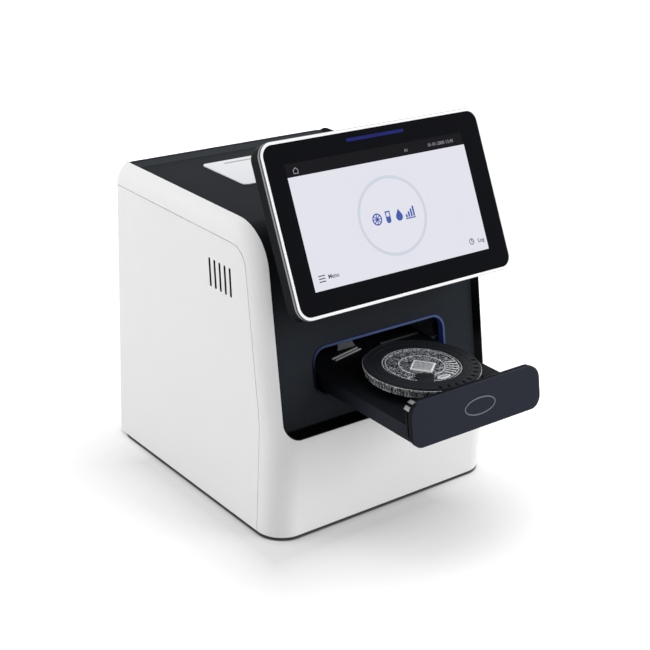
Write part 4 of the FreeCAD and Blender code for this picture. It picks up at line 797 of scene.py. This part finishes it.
wheel = addCylinder(rotor["radius"], rotorLow.z, ringBottom - rotor["gap"] * mm, rotor["ribs"] * 2)
editMode(wheel)
selectFaces(wheel, facesDown)
bpy.ops.transform.resize(value=(rotor["draft"], rotor["draft"], 1), center_override=rotorCentre)
selectFaces(wheel, lambda c, n: abs(n.z) < 0.4)
bpy.ops.mesh.inset(thickness=rotor["wallInset"] * mm, use_individual=True)
bpy.ops.mesh.inset(thickness=rotor["ribStep"] * mm, depth=-rotor["ribDepth"] * mm, use_individual=True)
selectFaces(wheel, lambda c, n: facesDown(c, n) and fromAxis(c) < rotor["middle"] * mm)
insetSteps(rotor["below"])
selectFaces(wheel, lambda c, n: facesUp(c, n) and fromAxis(c) < rotor["middle"] * mm)
insetSteps([(rotor["lip"], 0)])
selectFaces(wheel, lambda c, n: facesUp(c, n) and fromAxis(c) > rotor["lipBeyond"] * mm)
raiseFaces(rotor["lipRise"])
finishPiece(wheel, "rotorCuvettes", "rotor", "clearWall", ("rotor_base",), 20)
# Painted highlight: the rim's top faces on the left half are made almost all bright
paintFaces(wheel, "clearRidgeHighlight",
           lambda c, n: facesUp(c, n) and fromAxis(c) > rotor["ridgeBeyond"] * mm and c.x < rotorCentre.x)

# The clear centre: two ridges, a ring of chambers with radial walls, and a raised middle
chamber = {"radius": 27.3, "below": 0.9, "sides": 144, "every": 4, "wall": 0.85, "walled": (0.80, 0.97),
           "wallBand": (20, 23), "borderBand": (18, 23), "ridgeBeyond": 13, "ridgeTall": 0.3,
           "steps": ((0.6, 0), (0.3, -0.7), (0.9, 0), (0.25, 0.65), (0.5, 0), (0.25, -0.65), (8.0, 0),
                     (0.3, 0.5), (0.9, 0), (0.3, -0.5), (3.0, 0), (0.3, -0.2))}
centreTop = ringTop - chamber["below"] * mm
centre = addCylinder(chamber["radius"], ringBottom - rotor["gap"] * mm, centreTop, chamber["sides"])
editMode(centre)
selectFaces(centre, facesUp)
insetSteps(chamber["steps"])


def inBand(c, band):
    return band[0] * mm < fromAxis(c) < band[1] * mm


def wallFace(c, n):
    # A wall on every fourth side of the band, in the part that the photograph shows
    turn = atan2(c.y - rotorCentre.y, c.x - rotorCentre.x) % (2 * pi)
    index = int(turn / (2 * pi) * chamber["sides"])
    first, last = chamber["walled"]
    walled = first < index / chamber["sides"] < last and index % chamber["every"] == 0
    return facesUp(c, n) and inBand(c, chamber["wallBand"]) and walled


selectFaces(centre, wallFace)
raiseFaces(chamber["wall"])
finishPiece(centre, "rotorChambers", "rotor", "clearCentre", smooth=20)
# Painted highlight: the chambers' high ridges are made almost all bright
paintFaces(centre, "clearRidgeHighlight", lambda c, n: facesUp(c, n) and c.z > centreTop - chamber["ridgeTall"] * mm
           and fromAxis(c) > chamber["ridgeBeyond"] * mm)
# Painted highlights: the tops of the chambers' walls get the white of the printed border
paintFaces(centre, "rotorBorderAndHighlight",
           lambda c, n: facesUp(c, n) and inBand(c, chamber["borderBand"]) and c.z > centreTop)

# The dark ring: a raised outer lip, a flat band, a fine groove and a row of slots
topRing = {"radius": 40.15, "sides": 144, "lip": 0.5, "lipRise": 0.35, "below": 12.5,
           "steps": ((1.0, 0), (0.15, -0.25), (4.6, 0), (0.15, -0.2), (0.4, 0), (0.15, 0.2), (5.5, 0))}
ringPiece = addCylinder(topRing["radius"], ringBottom, ringTop - topRing["lipRise"] * mm, topRing["sides"])
editMode(ringPiece)
selectFaces(ringPiece, facesUp)
insetSteps([(topRing["lip"], 0)])
raiseFaces(topRing["lipRise"])
insetSteps(topRing["steps"])
bpy.ops.mesh.delete(type="FACE")
selectFaces(ringPiece, facesDown)
insetSteps([(topRing["below"], 0)])
bpy.ops.mesh.delete(type="FACE")
selectEdges(ringPiece, lambda e: e.is_boundary)
bpy.ops.mesh.bridge_edge_loops()
turnOutwards()

# One cutter, turned and copied round the axis, cuts the slots
ringSlots = {"count": 36, "circle": 36.8, "wide": 2.2, "long": 4.4, "depth": 1.4, "startDegrees": -22.5,
             "row": 10}
deselect()
bpy.ops.mesh.primitive_cylinder_add(vertices=20, radius=ringSlots["wide"] / 2 * mm,
                                    depth=2 * ringSlots["depth"] * mm)
cutter = bpy.context.object
cutter.scale.x = ringSlots["long"] / ringSlots["wide"]
settle(cutter)
cutter.location = (rotorCentre.x + ringSlots["circle"] * mm, rotorCentre.y, ringTop)
settle(cutter)
turnAboutAxis(cutter, radians(ringSlots["startDegrees"]))
cutters = [cutter]
for i in range(1, ringSlots["row"]):
    twin = addObject("twin", cutter.data.copy())
    turnAboutAxis(twin, -2 * pi * i / ringSlots["count"])
    cutters.append(twin)
cutter = joinPieces(cutters)
applyModifier(ringPiece, "BOOLEAN", operation="DIFFERENCE", object=cutter, solver="EXACT")
bpy.data.objects.remove(cutter)
finishPiece(ringPiece, "rotorTopRing", "rotor", "rotorBlack", ("rotor_ring",))

# The dark tab that reaches from the ring over the clear centre, with a rounded head
tab = {"side": -12.0, "back": -16.6, "head": 7.0, "headDeep": 3.6, "neck": 5.4, "neckLong": 4.5,
       "inner": 14.4, "outer": 28.2, "thick": 1.0, "edge": 0.25, "start": -110, "sweep": -140}
neckEnd = tab["outer"] - tab["neckLong"]
head = arcPoints(tab["inner"] + tab["headDeep"], 0, tab["headDeep"], tab["start"], tab["sweep"], 12,
                 tab["head"] / tab["headDeep"])
outline = [(tab["outer"], -tab["neck"]), (neckEnd, -tab["neck"]), *head, (neckEnd, tab["neck"]),
           (tab["outer"], tab["neck"])]
tabPiece = outlineSheet([(x * mm, y * mm, 0) for x, y in outline])
thicken((0, 0, tab["thick"] * mm))
roundEdges(tabPiece, tab["edge"])
tabPiece.rotation_euler.z = atan2(tab["back"], tab["side"])
tabPiece.location = (rotorCentre.x, rotorCentre.y, ringTop - tab["thick"] * mm)
finishPiece(tabPiece, "rotorTab", "rotor", "rotorBlack", ("rotor_port",))

# The pale square in the middle: a white border with a crumpled film on it
foil = {"side": 15.2, "turnDegrees": 38, "border": 1.2, "place": (-0.9, -1.9), "sunk": 0.8, "thick": 0.9,
        "filmThick": 0.12, "filmRise": 0.14}
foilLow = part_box("rotor_foil")[0]
foilMiddle = rotorCentre + Vector((foil["place"][0] * mm, foil["place"][1] * mm, 0))
foilTurn = (0, 0, radians(foil["turnDegrees"]))
filmSide = (foil["side"] - 2 * foil["border"]) * mm
deselect()
bpy.ops.mesh.primitive_plane_add(size=foil["side"] * mm, rotation=foilTurn,
                                 location=(foilMiddle.x, foilMiddle.y, foilLow.z - foil["sunk"] * mm))
foilPiece = bpy.context.object
settle(foilPiece)
editMode(foilPiece)
selectAll()
raiseFaces(foil["thick"])
finishPiece(foilPiece, "rotorLabel", "rotor", "rotorBorderAndHighlight", ("rotor_foil",))
deselect()
bpy.ops.mesh.primitive_cube_add(size=1, scale=(filmSide, filmSide, foil["filmThick"] * mm), rotation=foilTurn,
                                location=(foilMiddle.x, foilMiddle.y, foilLow.z + foil["filmRise"] * mm))
finishPiece(bpy.context.object, "rotorFilm", "rotor", "rotorFoil")

# A small oval seal in front of the square, with a white border too
oval = {"long": 11.0, "wide": 4.4, "alongY": -22.2, "thick": 0.5, "rise": 0.15, "edge": 0.2, "border": 0.5,
        "middle": 0.5}
deselect()
sealMiddle = Vector((rotorCentre.x, rotorCentre.y + oval["alongY"] * mm, centreTop + oval["rise"] * mm))
bpy.ops.mesh.primitive_cylinder_add(vertices=32, radius=0.5, depth=1, location=sealMiddle,
                                    scale=(oval["long"] * mm, oval["wide"] * mm, oval["thick"] * mm))
seal = bpy.context.object
settle(seal)
roundEdges(seal, oval["edge"])
editMode(seal)
selectFaces(seal, lambda c, n: n.z > 0.99)
insetSteps([(oval["border"], 0)])
finishPiece(seal, "rotorSeal", "rotor", "rotorBorderAndHighlight")
paintFaces(seal, "rotorFoil", lambda c, n: n.z > 0.99 and (c - sealMiddle).xy.length < oval["middle"] * mm)
print("rotor built")

# Camera, solved from the photograph: its place, heading, tilt and lens
camera = {"place": (-0.60724, -0.726675, 0.52607), "azimuth": -39.22, "elevation": 23.27, "roll": 2.58,
          "lens": 78.8, "sensor": 36.0, "farthest": 50}
azimuth = radians(camera["azimuth"])
elevation = radians(camera["elevation"])
backward = Vector((sin(azimuth) * cos(elevation), -cos(azimuth) * cos(elevation), sin(elevation)))
rightward = (-backward).cross(Vector((0, 0, 1))).normalized()
upward = rightward.cross(-backward)
cameraData = bpy.data.cameras.new("camera")
cameraData.lens = camera["lens"]
cameraData.sensor_width = camera["sensor"]
cameraData.clip_end = camera["farthest"]
cameraObject = addObject("camera", cameraData)
facing = Matrix((rightward, upward, backward)).transposed().to_4x4()
roll = Matrix.Rotation(radians(camera["roll"]), 4, "Z")
cameraObject.matrix_world = Matrix.Translation(Vector(camera["place"])) @ facing @ roll
bpy.context.scene.camera = cameraObject

# Painted floor: pale, matt, and as white as the backdrop where the camera sees it away from the object
studio = {"floorHalf": 6.0, "floor": "#E8E8E8", "patches": "#E6E6E6", "floorRoughness": 0.45,
          "floorSpecular": 0.2, "worldStrength": 0.40}
# The soft shadow lies below the body and its drawer, partly from the lamps and partly painted shadow, where
# the floor's glow is held back in a box: none is left beyond the fade's end
paintedShadow = {"low": (-0.1125, -0.0791), "high": (0.0329, 0.0896), "end": 0.2635, "power": 0.684, "most": 0.737}
# Painted contact shadow: below the shell the floor's colour is made dark, up to the shell's rounded outline
under = {"corner": 0.020, "edge": 0.0008, "tone": "#626262"}
deselect()
bpy.ops.mesh.primitive_plane_add(size=2 * studio["floorHalf"], location=(0, 0, 0))
floor = bpy.context.object
floor.name = "floor"
floorMaterial, floorTree, floorShader, floorPlace = startMaterial("palePaintedFloor")


def boxDistance(low, high):
    # How far a floor point lies outside a box in plan
    middle = [(a + b) / 2 for a, b in zip(low, high)] + [0]
    half = [(b - a) / 2 for a, b in zip(low, high)] + [0]
    away = floorPlace
    # The absolute value takes only the first of its two inputs
    for operation, other in (("SUBTRACT", middle), ("ABSOLUTE", (0, 0, 0)), ("SUBTRACT", half),
                             ("MAXIMUM", (0, 0, 0))):
        step = addNode(floorTree, "ShaderNodeVectorMath", {"operation": operation}, i0=away, i1=other)
        away = step.outputs["Vector"]
    return addNode(floorTree, "ShaderNodeVectorMath", {"operation": "LENGTH"}, i0=away).outputs["Value"]


def seenDirectly(tree):
    # 1 for the camera and for what shines in or through a surface, 0 for the light on the object
    rays = addNode(tree, "ShaderNodeLightPath")
    seen = addNode(tree, "ShaderNodeMath", {"operation": "MAXIMUM"}, i0=rays.outputs["Is Camera Ray"],
                   i1=rays.outputs["Is Glossy Ray"])
    return addNode(tree, "ShaderNodeMath", {"operation": "MAXIMUM"}, i0=seen.outputs[0],
                   i1=rays.outputs["Is Transmission Ray"]).outputs[0]


shellLow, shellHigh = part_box("front_shell")
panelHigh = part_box("rear_panel")[1]
rounded = boxDistance((shellLow.x + under["corner"], shellLow.y + under["corner"]),
                      (shellHigh.x - under["corner"], panelHigh.y - under["corner"]))
openFloor = addNode(floorTree, "ShaderNodeMapRange", None, Value=rounded,
                    From_Min=under["corner"] - under["edge"], From_Max=under["corner"] + under["edge"])
floorNoise = addNode(floorTree, "ShaderNodeTexNoise", None, Vector=floorPlace,
                     Scale=1 / (pattern["floorTone"] * mm), Detail=2.0)
floorTone = addNode(floorTree, "ShaderNodeMix", {"data_type": "RGBA"}, i0=floorNoise.outputs["Fac"],
                    i6=linear(studio["floor"]), i7=linear(studio["patches"]))
shaded = addNode(floorTree, "ShaderNodeMix", {"data_type": "RGBA"}, i0=openFloor.outputs["Result"],
                 i6=linear(under["tone"]), i7=floorTone.outputs[2])
fade = addNode(floorTree, "ShaderNodeMapRange", None, Value=boxDistance(paintedShadow["low"], paintedShadow["high"]),
               From_Max=paintedShadow["end"])
glow = fade.outputs["Result"]
for operation, other in (("POWER", paintedShadow["power"]), ("MULTIPLY", paintedShadow["most"]),
                         ("MULTIPLY", openFloor.outputs["Result"]), ("MULTIPLY", seenDirectly(floorTree))):
    glow = addNode(floorTree, "ShaderNodeMath", {"operation": operation}, i0=glow, i1=other).outputs[0]
fillSockets(floorTree, floorShader, Base_Color=shaded.outputs[2], Roughness=studio["floorRoughness"],
            Specular_IOR_Level=studio["floorSpecular"], Emission_Color=(1, 1, 1, 1), Emission_Strength=glow)
floor.data.materials.append(floorMaterial)

world = bpy.data.worlds.new("studio")
bpy.context.scene.world = world
world.use_nodes = True
tree = world.node_tree
strength = addNode(tree, "ShaderNodeMapRange", None, Value=seenDirectly(tree), To_Min=studio["worldStrength"],
                   To_Max=1.0)
fillSockets(tree, tree.nodes["Background"], Color=(1, 1, 1, 1), Strength=strength.outputs["Result"])


def softbox(name, place, target, width, height, watts):
    data = bpy.data.lights.new(name, "AREA")
    data.shape = "RECTANGLE"
    data.size = width
    data.size_y = height
    data.energy = watts
    lamp = addObject(name, data)
    lamp.location = place
    lamp.rotation_euler = (Vector(target) - Vector(place)).to_track_quat("-Z", "Y").to_euler()
    return lamp


# Place, target, width, height and watts. The side boxes leave the corner between the lit faces darker
lamps = {
    "topBox": ((0.0, 0.25, 1.9), (0, 0, 0.1), 1.5, 1.5, 13.0),
    "leftBox": ((-1.55, 1.0, 0.80), (0, 0, 0.12), 1.2, 1.1, 16.0),
    "rightBox": ((1.25, -1.35, 0.75), (0, 0, 0.12), 1.2, 1.1, 24.0),
}
softboxes = {name: softbox(name, *settings) for name, settings in lamps.items()}
# The right box would mirror in the display's glass, so polished surfaces don't see it
softboxes["rightBox"].visible_glossy = False

bpy.context.scene.view_settings.view_transform = "Standard"
print("studio lit")
